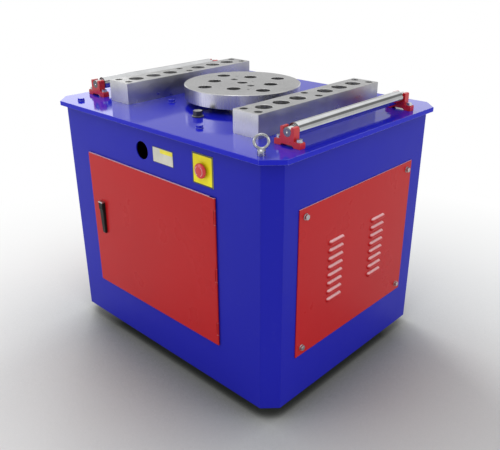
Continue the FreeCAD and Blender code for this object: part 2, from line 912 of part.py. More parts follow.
def involute(angle):
    """The involute function."""
    return math.tan(angle) - angle


def tooth_half_angle(radius):
    """Half of a wheel tooth's angle at a radius."""
    base = wheel_pitch_radius * math.cos(pressure_angle)
    here = math.acos(min(1.0, base / max(radius, base)))
    thickness = axial_pitch / 2 - flank_gap
    return thickness / (2 * wheel_pitch_radius) + involute(pressure_angle) - involute(here)


def wheel_outline(twist, height):
    """The toothed outline at one face of the worm wheel, with a gap facing the worm's thread."""
    rise = (wheel_tip_radius - wheel_root_radius) / (flank_points - 1)
    flank = [wheel_root_radius + k * rise for k in range(flank_points)]
    points = []
    for tooth in range(wheel_teeth):
        middle = -math.pi / 2 + twist + 2 * math.pi * (tooth + 0.5) / wheel_teeth
        for radius in flank:
            points.append((radius, middle - tooth_half_angle(radius)))
        for radius in reversed(flank):
            points.append((radius, middle + tooth_half_angle(radius)))
    return Part.makePolygon(
        [at(r * math.cos(a), r * math.sin(a), height) for r, a in points + points[:1]]
    )


def worm_wheel_rim():
    """Bronze rim whose teeth slant at the worm's lead angle."""
    slope = axial_pitch / (2 * math.pi * worm_pitch_radius)
    twist = wheel_face / 2 * slope / wheel_pitch_radius
    low = wheel_outline(-twist, worm_height - wheel_face / 2)
    high = wheel_outline(twist, worm_height + wheel_face / 2)
    body = Part.makeLoft([low, high], True, True)
    hole = rod(at(0, 0, worm_height - wheel_face / 2), Z_AXIS, wheel_rim_bore, wheel_face)
    return body.cut(hole)


def worm_wheel_hub():
    """Iron centre that the rim is shrunk onto: hub, web and flange."""
    face = wheel_face / 2
    hub = wheel_hub_length / 2
    web = wheel_web_half
    hub_radius = wheel_seat_radius + wheel_hub_wall
    flange_radius = wheel_rim_bore - wheel_flange
    profile = [
        (wheel_seat_radius, -hub), (hub_radius, -hub), (hub_radius, -web), (flange_radius, -web),
        (flange_radius, -face), (wheel_rim_bore, -face), (wheel_rim_bore, face),
        (flange_radius, face), (flange_radius, web), (hub_radius, web), (hub_radius, hub),
        (wheel_seat_radius, hub),
    ]
    return turned(profile, at(0, 0, worm_height))


def worm_thread():
    """One start of right-hand thread about +Z in short flat steps, middle turn at height 0 on +X."""
    half_root = axial_pitch / 4 - flank_gap / 2
    inner = worm_root_radius - thread_overlap
    slope = math.tan(pressure_angle)
    half_in = half_root + (worm_pitch_radius - inner) * slope
    half_tip = half_root - gear_module * slope
    section = (
        (inner, -half_in), (worm_tip_radius, -half_tip), (worm_tip_radius, half_tip), (inner, half_in),
    )
    half_count = math.ceil((worm_thread_half / axial_pitch + 1) * thread_steps)
    rings = []
    for step in range(-half_count, half_count + 1):
        angle = 360.0 * step / thread_steps
        rise = axial_pitch * step / thread_steps
        rings.append([at(*polar(radius, angle), rise + offset) for radius, offset in section])
    faces = [face_of(rings[0]), face_of(rings[-1])]
    for low, high in zip(rings, rings[1:]):
        for k in range(len(section)):
            a, b = low[k], low[k - 1]
            c, d = high[k - 1], high[k]
            faces.append(face_of([a, b, c]))
            faces.append(face_of([a, c, d]))
    solid = Part.makeSolid(Part.makeShell(faces))
    if solid.Volume < 0:
        solid.reverse()
    return solid


def worm_shaft():
    """Worm, its journals and the long end that carries the large pulley."""
    left = -(case_x + boss_length - worm_end_gap)
    right = pulley_centre_x + pulley_width / 2
    shoulder = worm_thread_half + worm_shoulder
    core = prism(at(0, 0, -shoulder), Z_AXIS, worm_root_radius, thread_steps, 2 * shoulder)
    trim = rod(at(0, 0, -worm_thread_half), Z_AXIS, worm_tip_radius + gear_module, 2 * worm_thread_half)
    thread = worm_thread().common(trim)
    ends = [
        rod(at(0, 0, left), Z_AXIS, worm_journal_radius, -shoulder - left),
        rod(at(0, 0, shoulder), Z_AXIS, worm_journal_radius, right - shoulder),
    ]
    body = core.fuse([thread] + ends).Solids[0]
    body.Placement = FreeCAD.Placement(at(0, worm_y, worm_height), FreeCAD.Rotation(at(1, 1, 1), 120))
    return body


def case_box(z0, z1, wall):
    """The worm case's outline, or its cavity when wall is above zero."""
    return box(-case_x + wall, case_x - wall, case_front + wall, case_rear - wall, z0, z1)


def cover_bolt_places():
    """Bolts through the cover into the case's walls."""
    inset = case_wall / 2
    x = case_x - inset
    front = case_front + inset
    rear = case_rear - inset
    middle = (front + rear) / 2
    return [
        (-x, front), (0, front), (x, front), (-x, middle),
        (x, middle), (-x, rear), (0, rear), (x, rear),
    ]


def housing_foot_places():
    """Bolts that hold the case to the foot of the bearing housing."""
    return [polar(foot_bolt_circle_radius, 45 + 90 * k) for k in range(4)]


def cap_bolt_places(side):
    """Four bolts in each worm bearing cap, as (x, y, z) on the cap's outer face."""
    x = side * (case_x + boss_length + cap_thickness)
    places = []
    for k in range(4):
        dy, dz = polar(cap_bolt_circle_radius, 45 + 90 * k)
        places.append((x, worm_y + dy, worm_height + dz))
    return places


def gearbox_case():
    """Cast box around worm and wheel, open below, with a boss at each end of the worm."""
    body = case_box(case_floor, case_top, 0)
    bosses = [
        rod(at(case_x, worm_y, worm_height), X_AXIS, boss_radius, boss_length),
        rod(at(-case_x - boss_length, worm_y, worm_height), X_AXIS, boss_radius, boss_length),
    ]
    body = joined([body] + bosses)
    span = 2 * (case_x + boss_length)
    start = at(-case_x - boss_length, worm_y, worm_height)
    cuts = [
        case_box(case_floor, case_ceiling, case_wall),
        rod(start, X_AXIS, worm_tip_radius + worm_end_gap, span),
        rod(start, X_AXIS, worm_bearing_radius, worm_bearing_width),
        rod(at(case_x + boss_length - worm_bearing_width, worm_y, worm_height), X_AXIS,
            worm_bearing_radius, worm_bearing_width),
        rod(at(0, 0, case_ceiling), Z_AXIS, shaft_radius + shaft_room, case_wall),
    ]
    cuts += [
        rod(at(x, y, case_floor), Z_AXIS, cover_bolt_radius, cover_bolt_grip)
        for x, y in cover_bolt_places()
    ]
    cuts += [
        rod(at(x, y, case_ceiling), Z_AXIS, foot_bolt_radius, case_wall)
        for x, y in housing_foot_places()
    ]
    for side in (-1, 1):
        for x, y, z in cap_bolt_places(side):
            depth = cap_thickness + cap_bolt_grip
            cuts.append(rod(at(x, y, z), X_AXIS * -side, cap_bolt_radius, depth))
    return bored(body, cuts)


def gearbox_cover():
    """Bottom plate of the worm case, with the seat for the main shaft's tail bearing."""
    plate = case_box(cover_bottom, case_floor, 0)
    boss = rod(at(0, 0, cover_bottom - tail_boss), Z_AXIS, tail_boss_radius, tail_boss)
    tail_floor = cover_bottom - tail_boss + tail_boss_floor
    cuts = [
        rod(at(0, 0, case_floor - tail_bearing_width), Z_AXIS, tail_bearing_radius, tail_bearing_width),
        rod(at(0, 0, tail_floor), Z_AXIS, tail_radius + tail_room, tail_boss),
    ]
    cuts += [
        rod(at(x, y, cover_bottom), Z_AXIS, cover_bolt_radius, case_wall)
        for x, y in cover_bolt_places()
    ]
    return bored(joined([plate, boss]), cuts)


def worm_bearing_caps():
    """Left cap closed, right cap bored for the pulley end of the worm."""
    caps = []
    for side in (-1, 1):
        face = at(side * (case_x + boss_length), worm_y, worm_height)
        cap = rod(face, X_AXIS * side, boss_radius, cap_thickness)
        cuts = []
        if side > 0:
            cuts.append(rod(face, X_AXIS, worm_journal_radius + worm_end_gap, cap_thickness))
        for x, y, z in cap_bolt_places(side):
            cuts.append(rod(at(x, y, z), X_AXIS * -side, cap_bolt_radius, cap_thickness))
        caps.append(bored(cap, cuts))
    return caps


def drive_bolts():
    """Bolts of the worm case, its caps and cover, and of the motor's feet."""
    down = Z_AXIS * -1
    foot_seat = case_top + housing_foot
    motor_seat = motor_floor + motor_foot_thick
    bolts = []
    for x, y in cover_bolt_places():
        bolts.append(hex_bolt(at(x, y, cover_bottom), down, cover_bolt_flats, cover_bolt_head,
                              cover_bolt_radius, case_wall + cover_bolt_grip))
    for x, y in housing_foot_places():
        bolts.append(hex_bolt(at(x, y, foot_seat), Z_AXIS, foot_bolt_flats, foot_bolt_head,
                              foot_bolt_radius, housing_foot + case_wall))
    for side in (-1, 1):
        for x, y, z in cap_bolt_places(side):
            bolts.append(hex_bolt(at(x, y, z), X_AXIS * side, cap_bolt_flats, cap_bolt_head,
                                  cap_bolt_radius, cap_thickness + cap_bolt_grip))
    for x, y in motor_bolt_places():
        bolts.append(hex_bolt(at(x, y, motor_seat), Z_AXIS, motor_bolt_flats, motor_bolt_head,
                              motor_bolt_radius, motor_foot_thick + motor_plate))
    return bolts


# Belt drive and motor

def pulley(x, y, z, pitch_radius, inner_profile):
    """A grooved wheel on an X axis: inner_profile closes the outline on its shaft side."""
    rim = pitch_radius + groove_rise
    bottom_half = groove_top / 2 - groove_depth * math.tan(groove_angle)
    outline = [(rim, -pulley_width / 2)]
    for k in range(belt_count):
        middle = (k - (belt_count - 1) / 2) * belt_pitch
        outline += [
            (rim, middle - groove_top / 2), (rim - groove_depth, middle - bottom_half),
            (rim - groove_depth, middle + bottom_half), (rim, middle + groove_top / 2),
        ]
    outline.append((rim, pulley_width / 2))
    return turned(outline + inner_profile, at(x, y, z), X_AXIS)


def large_pulley():
    """Cast pulley with a hub, a web with five round windows and a grooved rim."""
    half = pulley_width / 2
    under = large_pitch_radius + groove_rise - groove_depth - pulley_rim
    web = pulley_web / 2
    inner = [
        (under, half), (under, web), (pulley_hub_radius, web), (pulley_hub_radius, half),
        (worm_journal_radius, half), (worm_journal_radius, -half), (pulley_hub_radius, -half),
        (pulley_hub_radius, -web), (under, -web), (under, -half),
    ]
    body = pulley(pulley_centre_x, worm_y, worm_height, large_pitch_radius, inner)
    windows = []
    for k in range(pulley_window_count):
        dy, dz = polar(pulley_window_circle_radius, 90 + 360 * k / pulley_window_count)
        start = at(pulley_centre_x - web, worm_y + dy, worm_height + dz)
        windows.append(rod(start, X_AXIS, pulley_window_radius, pulley_web))
    return bored(body, windows)


def small_pulley():
    half = pulley_width / 2
    inner = [(motor_shaft_radius, half), (motor_shaft_radius, -half)]
    return pulley(pulley_centre_x, motor_y, motor_z, small_pitch_radius, inner)


def belt_section(middle, radius):
    """A belt's section as (distance along X, distance from the pulley's axis) points."""
    high = groove_rise - belt_back_drop
    low = high - belt_height

    def half(height):
        groove = groove_top / 2 - (groove_rise - height) * math.tan(groove_angle)
        return groove - belt_gap / math.cos(groove_angle)

    return [
        (middle - half(low), radius + low), (middle + half(low), radius + low),
        (middle + half(high), radius + high), (middle - half(high), radius + high),
    ]


def v_belt(middle):
    """One endless belt: an arc on each pulley and two straight runs."""
    drop = worm_height - motor_z
    lean = math.degrees(math.asin((large_pitch_radius - small_pitch_radius) / drop))
    run = math.sqrt(drop ** 2 - (large_pitch_radius - small_pitch_radius) ** 2)
    parts = []
    for height, radius, first, sweep in (
        (worm_height, large_pitch_radius, -lean, 180 + 2 * lean),
        (motor_z, small_pitch_radius, 180 + lean, 180 - 2 * lean),
    ):
        section = face_of([at(x, r, 0) for x, r in belt_section(middle, radius)])
        arc = section.revolve(ORIGIN, X_AXIS, sweep)
        arc.rotate(ORIGIN, X_AXIS, first)
        arc.translate(at(pulley_centre_x, worm_y, height))
        parts.append(arc)
    for first, way in ((-lean, -1), (180 + lean, 1)):
        section = face_of([at(x, r, 0) for x, r in belt_section(middle, large_pitch_radius)])
        straight = section.extrude(at(0, 0, way * run))
        straight.rotate(ORIGIN, X_AXIS, first)
        straight.translate(at(pulley_centre_x, worm_y, worm_height))
        parts.append(straight)
    return joined(parts)


def v_belts():
    return [v_belt((k - (belt_count - 1) / 2) * belt_pitch) for k in range(belt_count)]


def motor_bolt_places():
    """Four bolts in the motor's feet."""
    middle = (motor_body_left + motor_body_right) / 2
    y = motor_foot_y
    return [(middle + sx * motor_foot_half, motor_y + sy * y) for sx in (-1, 1) for sy in (-1, 1)]


def motor_body():
    """Finned frame with its wound core and both end shields, bored for the rotor."""
    opening = motor_shaft_radius + motor_shaft_room
    left_seat = motor_body_left + motor_end_wall
    right_seat = motor_body_right - motor_end_wall
    profile = [
        (opening, motor_body_left), (motor_body_radius, motor_body_left),
        (motor_body_radius, motor_body_right), (opening, motor_body_right),
        (opening, right_seat), (motor_bearing_radius, right_seat),
        (motor_bearing_radius, right_seat - motor_bearing_width),
        (motor_bore_radius, right_seat - motor_bearing_width),
        (motor_bore_radius, left_seat + motor_bearing_width),
        (motor_bearing_radius, left_seat + motor_bearing_width),
        (motor_bearing_radius, left_seat), (opening, left_seat),
    ]
    pieces = [turned(profile, at(0, motor_y, motor_z), X_AXIS)]
    left = motor_body_left + motor_shield
    right = motor_body_right - motor_shield
    for k in range(motor_fin_count):
        fin = box(left, right, motor_body_radius - motor_fin_root, motor_fin_radius,
                  -motor_fin_half, motor_fin_half)
        fin.rotate(ORIGIN, X_AXIS, 360 * (k + 0.5) / motor_fin_count)
        fin.translate(at(0, motor_y, motor_z))
        pieces.append(fin)
    for side in (-1, 1):
        inner = motor_y + side * (motor_foot_y - motor_foot_width / 2)
        outer = motor_y + side * (motor_foot_y + motor_foot_width / 2)
        riser = motor_y + side * (motor_foot_y - motor_foot_width / 2 + motor_riser)
        pieces.append(box(left, right, min(inner, outer), max(inner, outer), motor_floor,
                          motor_floor + motor_foot_thick))
        pieces.append(box(left, right, min(inner, riser), max(inner, riser), motor_floor,
                          motor_z - motor_body_radius / 2))
    pad = terminal_side / 2 - terminal_pad_inset
    middle = (motor_body_left + motor_body_right) / 2
    pad_top = motor_z + motor_fin_radius + terminal_rise
    pieces.append(box(middle - pad, middle + pad, motor_y - pad, motor_y + pad,
                      motor_z + motor_body_radius - terminal_pad_depth, pad_top))
    body = joined(pieces)
    cuts = [
        rod(at(x, y, motor_floor), Z_AXIS, motor_bolt_radius, motor_foot_thick)
        for x, y in motor_bolt_places()
    ]
    return bored(body, cuts)


def motor_terminal_box():
    """Connection box on top of the motor, with a lid and a cable gland."""
    middle = (motor_body_left + motor_body_right) / 2
    low = motor_z + motor_fin_radius + terminal_rise
    half = terminal_side / 2
    lid = half + terminal_lid_lap
    body = box(middle - half, middle + half, motor_y - half, motor_y + half, low, low + terminal_height)
    top = box(middle - lid, middle + lid, motor_y - lid, motor_y + lid,
              low + terminal_height - terminal_lid, low + terminal_height)
    gland_z = low + terminal_height / 2 - gland_drop
    gland = rod(at(middle, motor_y + half, gland_z), Y_AXIS, gland_radius, gland_length)
    return joined([body, top, gland])


def motor_fan_cover():
    """Thin bowl over the fan, with slots in its end."""
    outer = motor_body_radius + fan_cover_rise
    end = motor_body_left + fan_cover_lap - fan_cover_length
    shell = rod(at(end, motor_y, motor_z), X_AXIS, outer, fan_cover_length)
    room = rod(at(end + fan_cover_wall, motor_y, motor_z), X_AXIS, outer - fan_cover_wall,
               fan_cover_length)
    seat = ring(at(motor_body_left, motor_y, motor_z), X_AXIS, outer - fan_cover_wall / 2,
                motor_body_radius, fan_cover_lap)
    body = joined([shell.cut(room), seat])
    slots = []
    for k in range(fan_slot_count):
        slot = box(end, end + fan_cover_wall, fan_hub_radius, outer - fan_slot_rim,
                   -fan_slot_half, fan_slot_half)
        slot.rotate(ORIGIN, X_AXIS, 360 * k / fan_slot_count)
        slot.translate(at(0, motor_y, motor_z))
        slots.append(slot)
    return bored(body, slots)


def motor_rotor():
    """Shaft and core, from the fan to the small pulley."""
    left = motor_body_left - fan_gap - fan_length - fan_shaft_end
    right = pulley_centre_x + pulley_width / 2
    profile = [
        (0, left), (motor_shaft_radius, left), (motor_shaft_radius, rotor_left),
        (rotor_radius, rotor_left), (rotor_radius, rotor_right), (motor_shaft_radius, rotor_right),
        (motor_shaft_radius, right), (0, right),
    ]
    return turned(profile, at(0, motor_y, motor_z), X_AXIS)


def motor_fan():
    """Radial blades on a hub at the blind end of the motor shaft."""
    right = motor_body_left - fan_gap
    left = right - fan_length
    hub = ring(at(left, motor_y, motor_z), X_AXIS, fan_hub_radius, motor_shaft_radius, fan_length)
    back = ring(at(right - fan_back, motor_y, motor_z), X_AXIS, fan_radius - fan_back_inset,
                motor_shaft_radius, fan_back)
    pieces = [hub, back]
    for k in range(fan_blades):
        blade = box(left, right, fan_hub_radius - fan_blade_root, fan_radius,
                    -fan_blade_half, fan_blade_half)
        blade.rotate(ORIGIN, X_AXIS, 360 * k / fan_blades)
        blade.translate(at(0, motor_y, motor_z))
        pieces.append(blade)
    return joined(pieces)


def shaft_bearings():
    """Every ball bearing in the drive: three on the main shaft, two on the worm, two in the motor."""
    inner = shaft_radius + bearing_clearance
    upper = at(0, 0, table_height - bearing_inset - top_bearing_width)
    lower = at(0, 0, case_top + housing_floor)
    tail = at(0, 0, case_floor - tail_bearing_width)
    rings = [
        bearing_ring(upper, Z_AXIS, top_bearing_radius, inner, top_bearing_width),
        bearing_ring(lower, Z_AXIS, low_bearing_radius, inner, low_bearing_width),
        bearing_ring(tail, Z_AXIS, tail_bearing_radius, tail_radius + bearing_clearance,
                     tail_bearing_width),
    ]
    worm_bore = worm_journal_radius + bearing_clearance
    for x in (-case_x - boss_length, case_x + boss_length - worm_bearing_width):
        rings.append(bearing_ring(at(x, worm_y, worm_height), X_AXIS, worm_bearing_radius, worm_bore,
                                  worm_bearing_width))
    motor_bore = motor_shaft_radius + bearing_clearance
    right_seat = motor_body_right - motor_end_wall
    for x in (motor_body_left + motor_end_wall, right_seat - motor_bearing_width):
        rings.append(bearing_ring(at(x, motor_y, motor_z), X_AXIS, motor_bearing_radius, motor_bore,
                                  motor_bearing_width))
    return rings


# Cabinet

def wall_corners():
    """Outer and inner corners of the eight-sided wall, in step with each other."""
    inner_leg = cabinet_corner - sheet * (2 - math.sqrt(2))
    return octagon(wall_x, wall_y, cabinet_corner), octagon(inner_x, inner_y, inner_leg)


def wall(index, cuts=()):
    """One side of the wall, mitred at both ends. Side 0 is the front, counted against the clock."""
    outer, inner = wall_corners()
    after = (index + 1) % 8
    outline = [outer[index], outer[after], inner[after], inner[index]]
    return bored(slab(outline, floor_gap, table_under), list(cuts))


def front_sheet():
    behind = 2 * sheet
    return wall(0, [
        box(opening_left, opening_right, -wall_y - behind, -inner_y + behind,
            opening_bottom, opening_top),
        rod(at(cable_hole_x, -wall_y, cable_hole_z), Y_AXIS, cable_hole_radius, sheet),
        rod(at(stop_x, -wall_y, stop_z), Y_AXIS, stop_barrel_radius + bolt_clearance, sheet),
    ])


def side_sheet(side):
    """A side wall with an opening behind its ventilation panel and four screw holes."""
    half = panel_depth / 2 - panel_lap
    middle = side * panel_shift
    x0 = wall_x - 2 * sheet if side > 0 else -wall_x - sheet
    cuts = [box(x0, x0 + 3 * sheet, middle - half, middle + half,
                panel_bottom + panel_lap, panel_top - panel_lap)]
    start = inner_x if side > 0 else -wall_x
    for y, z in panel_screw_places():
        cuts.append(rod(at(start, side * y, z), X_AXIS, panel_screw_radius, sheet))
    return wall(2 if side > 0 else 6, cuts)


def corner_sheets():
    return [wall(k) for k in (1, 3, 5, 7)]


def louvre_hood(y, z, radius, half_length):
    """A lying round-ended bar, centred on the panel's outer face."""
    start = at(panel_thickness, y - half_length, z)
    ends = [Part.makeSphere(radius, at(panel_thickness, y + way * half_length, z)) for way in (-1, 1)]
    return joined([rod(start, Y_AXIS, radius, 2 * half_length)] + ends)


def louvre_panel(side):
    """Screwed plate with two columns of pressed round-ended hoods, each open at its lower edge."""
    half = panel_depth / 2
    plate = box(0, panel_thickness, panel_shift - half, panel_shift + half, panel_bottom, panel_top)
    half_length = louvre_length / 2 - louvre_radius
    hollow = louvre_radius - louvre_wall
    hoods = []
    cuts = []
    for row in range(louvre_count):
        z = louvre_top - row * louvre_pitch
        low = z - louvre_below
        for column in (-1, 1):
            y = panel_shift + louvre_shift + column * louvre_column_y
            keep = box(0, panel_thickness + louvre_radius, y - louvre_length, y + louvre_length,
                       low, z + louvre_radius)
            hoods.append(louvre_hood(y, z, louvre_radius, half_length).common(keep))
            start = at(panel_thickness, y - half_length, z)
            cuts.append(rod(start, Y_AXIS, hollow, 2 * half_length))
            cuts.append(box(0, panel_thickness, y - half_length, y + half_length, low, z + hollow / 2))
    for y, z in panel_screw_places():
        cuts.append(rod(at(0, y, z), X_AXIS, panel_screw_radius, panel_thickness))
    panel = bored(joined([plate] + hoods), cuts)
    if side < 0:
        panel.rotate(ORIGIN, Z_AXIS, 180)
    panel.translate(at(side * wall_x, 0, 0))
    return panel


def panel_screws():
    reach = panel_thickness + sheet
    return [
        hex_bolt(at(side * (wall_x + panel_thickness), side * y, z), X_AXIS * side,
                 panel_screw_flats, panel_screw_head, panel_screw_radius, reach)
        for side in (-1, 1) for y, z in panel_screw_places()
    ]


def base_rails():
    """Two long tubes and five cross tubes of the welded base."""
    rails = []
    inner = rail_y - rail / 2
    for y in (-rail_y, rail_y):
        rails.append(square_tube(-long_rail_half, long_rail_half, y - rail / 2, y + rail / 2,
                                 floor_gap, rail_top, rail_wall, "x"))
    for x in cross_rails_x:
        tube = square_tube(x - rail / 2, x + rail / 2, -inner, inner, floor_gap, rail_top, rail_wall, "y")
        if abs(x) == foot_x:
            tube = bored(tube, [
                rod(at(x, y, floor_gap), Z_AXIS, foot_stud_radius + bolt_clearance, rail_wall)
                for y in (-foot_y, foot_y)
            ])
        rails.append(tube)
    return rails


def frame_posts():
    half = post / 2
    return [
        square_tube(sx * post_x - half, sx * post_x + half, sy * post_y - half, sy * post_y + half,
                    rail_top, table_under, post_wall, "z")
        for sx in (-1, 1) for sy in (-1, 1)
    ]


def motor_plate_sheet():
    plate = box(motor_plate_left, motor_plate_right, motor_y - motor_plate_half,
                motor_y + motor_plate_half, rail_top, motor_floor)
    cuts = [
        rod(at(x, y, rail_top), Z_AXIS, motor_bolt_radius, motor_plate)
        for x, y in motor_bolt_places()
    ]
    return bored(plate, cuts)


def levelling_feet():
    """Rubber-tipped pads on studs, each locked below its rail by a nut."""
    feet = []
    for x in (-foot_x, foot_x):
        for y in (-foot_y, foot_y):
            stud_top = floor_gap + rail_wall + foot_stud_above
            profile = [
                (0, 0), (foot_pad_radius, 0), (foot_pad_radius, foot_pad_rim),
                (foot_stud_radius + foot_neck, foot_pad), (foot_stud_radius, foot_pad),
                (foot_stud_radius, stud_top), (0, stud_top),
            ]
            nut = hex_head(at(x, y, floor_gap - foot_nut), Z_AXIS, foot_nut_flats, foot_nut)
            feet.append(joined([turned(profile, at(x, y, 0)), nut]))
    return feet


# Electrical box on the rear wall

def electrical_box():
    outer = box(box_left, box_right, inner_y - box_depth, inner_y, box_bottom, box_top)
    inner = box(box_left + box_wall, box_right - box_wall, inner_y - box_depth, inner_y - box_wall,
                box_bottom + box_wall, box_top - box_wall)
    return outer.cut(inner)


def electrical_box_lid():
    """Shallow tray that covers the mouth of the box."""
    front = inner_y - box_depth - box_wall
    rim = box_lid - box_wall
    gap = joint_gap
    outer = box(box_left - box_wall - gap, box_right + box_wall + gap, front, front + rim,
                box_bottom - box_wall - gap, box_top + box_wall + gap)
    inner = box(box_left - gap, box_right + gap, front + box_wall, front + rim,
                box_bottom - gap, box_top + gap)
    return outer.cut(inner)


def contactors():
    """Two switching blocks for the two turning directions, on a rail at the back of the box."""
    back = inner_y - box_wall
    middle = (box_left + box_right) / 2
    height = (box_bottom + box_top) / 2
    rail_front = back - mount_rail
    pieces = [box(box_left + mount_rail_inset, box_right - mount_rail_inset, rail_front, back,
                  height - mount_rail_half, height + mount_rail_half)]
    front = rail_front - contactor_depth
    top = height + contactor_height / 2
    low = height - contactor_height / 2
    half = contactor_width / 2
    for side in (-1, 1):
        x = middle + side * (half + contactor_gap_half)
        body = box(x - half, x + half, front, rail_front, low, top)
        step_back = front + contactor_step_depth
        pieces.append(bored(body, [
            box(x - half, x + half, front, step_back, top - contactor_step, top),
            box(x - half, x + half, front, step_back, low, low + contactor_step),
        ]))
    return pieces


# Rollers

def bracket(sx, sy):
    """Bolted block with a post that is slotted from above for the roller's stub shaft."""
    half = bracket_length / 2
    foot = table_height + bracket_base
    top = table_height + bracket_post_top
    outline = [
        (-half, table_height), (-bracket_arch_half - bracket_arch, table_height),
        (-bracket_arch_half, table_height + bracket_arch),
        (bracket_arch_half, table_height + bracket_arch),
        (bracket_arch_half + bracket_arch, table_height), (half, table_height), (half, foot),
        (bracket_post_half, foot), (bracket_post_half, top), (-bracket_post_half, top),
        (-bracket_post_half, foot), (-half, foot),
    ]
    y0 = -bracket_thickness / 2
    solid = face_of([at(x, y0, z) for x, z in outline]).extrude(at(0, bracket_thickness, 0))
    corners = (
        (bracket_post_half, top, bracket_post_radius), (-bracket_post_half, top, bracket_post_radius),
        (bracket_post_half, foot, bracket_root_radius), (-bracket_post_half, foot, bracket_root_radius),
        (half, foot, bracket_foot_radius), (-half, foot, bracket_foot_radius),
    )
    for x, z, radius in corners:
        solid = rounded(solid, x, z, radius)
    slot_radius = roller_stub_radius + roller_fit
    cuts = [
        rod(at(0, y0, roller_z), Y_AXIS, slot_radius, bracket_thickness),
        box(-slot_radius, slot_radius, y0, -y0, roller_z, top),
    ]
    bolt_hole = bracket_bolt_radius + bolt_clearance
    for dx in (-bracket_bolt_x, bracket_bolt_x):
        cuts.append(rod(at(dx, 0, table_height), Z_AXIS, bolt_hole, bracket_base))
    solid = bored(solid, cuts)
    solid.translate(at(sx * roller_x, sy * bracket_y, 0))
    return solid


def rounded(solid, x, z, radius):
    """Round the edge that runs along Y at x and z."""
    for edge in solid.Edges:
        ends = [v.Point for v in edge.Vertexes]
        if len(ends) == 2 and all(abs(p.x - x) < same_place and abs(p.z - z) < same_place for p in ends):
            return solid.makeFillet(radius, [edge])
    return solid


def bracket_bolts():
    """Each bolt with its washer as one piece."""
    seat = table_height + bracket_base
    bolts = []
    for x, y in bracket_bolt_places():
        washer = rod(at(x, y, seat), Z_AXIS, bracket_washer_radius, bracket_washer)
        head = hex_head(at(x, y, seat), Z_AXIS, bracket_bolt_flats, bracket_washer + bracket_bolt_head)
        shank = rod(at(x, y, table_under), Z_AXIS, bracket_bolt_radius, seat - table_under)
        bolts.append(joined([washer, head, shank]))
    return bolts


def roller(side):
    shoulder_end = bracket_inner - roller_clearance
    body_end = shoulder_end - roller_shoulder
    half = [
        (roller_radius, body_end), (roller_shoulder_radius, body_end),
        (roller_shoulder_radius, shoulder_end), (roller_stub_radius, shoulder_end),
        (roller_stub_radius, bracket_outer), (centre_drill_radius, bracket_outer),
        (0, bracket_outer - centre_drill_depth),
    ]
    other = [(r, -h) for r, h in reversed(half)]
    return turned(half + other, at(side * roller_x, 0, roller_z), Y_AXIS)


# Door

def door_panel():
    """Folded tray whose right edge is rolled round the hinge pins."""
    skin = box(door_left, hinge_x, door_face, door_skin_back, door_bottom, door_top)
    lip = -wall_y - joint_gap
    right = hinge_x - door_flange_end
    pieces = [
        skin,
        box(door_left, door_left + door_skin, door_face, lip, door_bottom, door_top),
        box(door_left, right, door_face, lip, door_bottom, door_bottom + door_skin),
        box(door_left, right, door_face, lip, door_top - door_skin, door_top),
        rod(at(hinge_x, hinge_y, door_bottom), Z_AXIS, knuckle_radius, door_top - door_bottom),
    ]
    body = joined(pieces)
    bore = hinge_pin_radius + pin_clearance
    cuts = [rod(at(hinge_x, hinge_y, door_bottom), Z_AXIS, bore, door_top - door_bottom)]
    for z in knuckle_heights:
        clear = knuckle_radius + joint_gap
        cuts.append(box(hinge_x - clear, hinge_x + clear, hinge_y - clear, hinge_y + clear,
                        z - joint_gap, z + knuckle_length + joint_gap))
    pivot = at(handle_x, door_face, handle_pivot_z)
    cuts.append(rod(pivot, Y_AXIS, spindle_radius + spindle_fit, door_skin))
    return bored(body, cuts)


def door_hinges():
    """Fixed hinge halves on the front wall: leaf, knuckle and a pin that the door turns on."""
    hinges = []
    for z in knuckle_heights:
        leaf = box(hinge_x - hinge_leaf, hinge_x, -wall_y - hinge_leaf_thick, -wall_y,
                   z, z + knuckle_length)
        knuckle = rod(at(hinge_x, hinge_y, z), Z_AXIS, knuckle_radius, knuckle_length)
        pin_low = z - hinge_pin_reach
        pin_length = knuckle_length + 2 * hinge_pin_reach
        pin = rod(at(hinge_x, hinge_y, pin_low), Z_AXIS, hinge_pin_radius, pin_length)
        hinges.append(joined([leaf, knuckle, pin]))
    return hinges


def handle_section(z, width, thick):
    """The lever's outline at one height: flat back, two sides and a low ridge in front."""
    half = width / 2
    shoulder = handle_face - thick + handle_ridge
    outline = [
        (-half, handle_face), (half, handle_face), (half, shoulder),
        (0, handle_face - thick), (-half, shoulder),
    ]
    points = [at(handle_x + x, y, z) for x, y in outline]
    return Part.makePolygon(points + points[:1])


def door_handle():
    """Square head on the spindle, with a ridged lever that tapers downwards."""
    head_low = handle_top - handle_head
    lever = Part.makeLoft([
        handle_section(handle_bottom, handle_tip_width, handle_tip_thick),
        handle_section(head_low, handle_top_width, handle_thick),
    ], True, True)
    half = handle_head_width / 2
    front = handle_face - handle_head_thick
    head = box(handle_x - half, handle_x + half, front, handle_face, head_low, handle_top)
    for x in (handle_x - half, handle_x + half):
        for z in (head_low, handle_top):
            head = rounded(head, x, z, handle_corner)
    cam_back = cam_face + cam_thick + cam_nut
    pivot = at(handle_x, handle_face, handle_pivot_z)
    spindle = rod(pivot, Y_AXIS, spindle_radius, cam_back - handle_face)
    return joined([lever, head, spindle])


def latch_cam():
    """Flat tongue with its nut on the inner end of the spindle."""
    low = handle_pivot_z
    tongue = box(handle_x - cam_width / 2, handle_x + cam_width / 2, cam_face, cam_face + cam_thick,
                 low - cam_width / 2, low + cam_length)
    nut = hex_head(at(handle_x, cam_face + cam_thick, low), Y_AXIS, cam_nut_flats, cam_nut)
    hole = rod(at(handle_x, cam_face, low), Y_AXIS, spindle_radius, cam_thick + cam_nut)
    return joined([tongue, nut]).cut(hole)


# Emergency stop

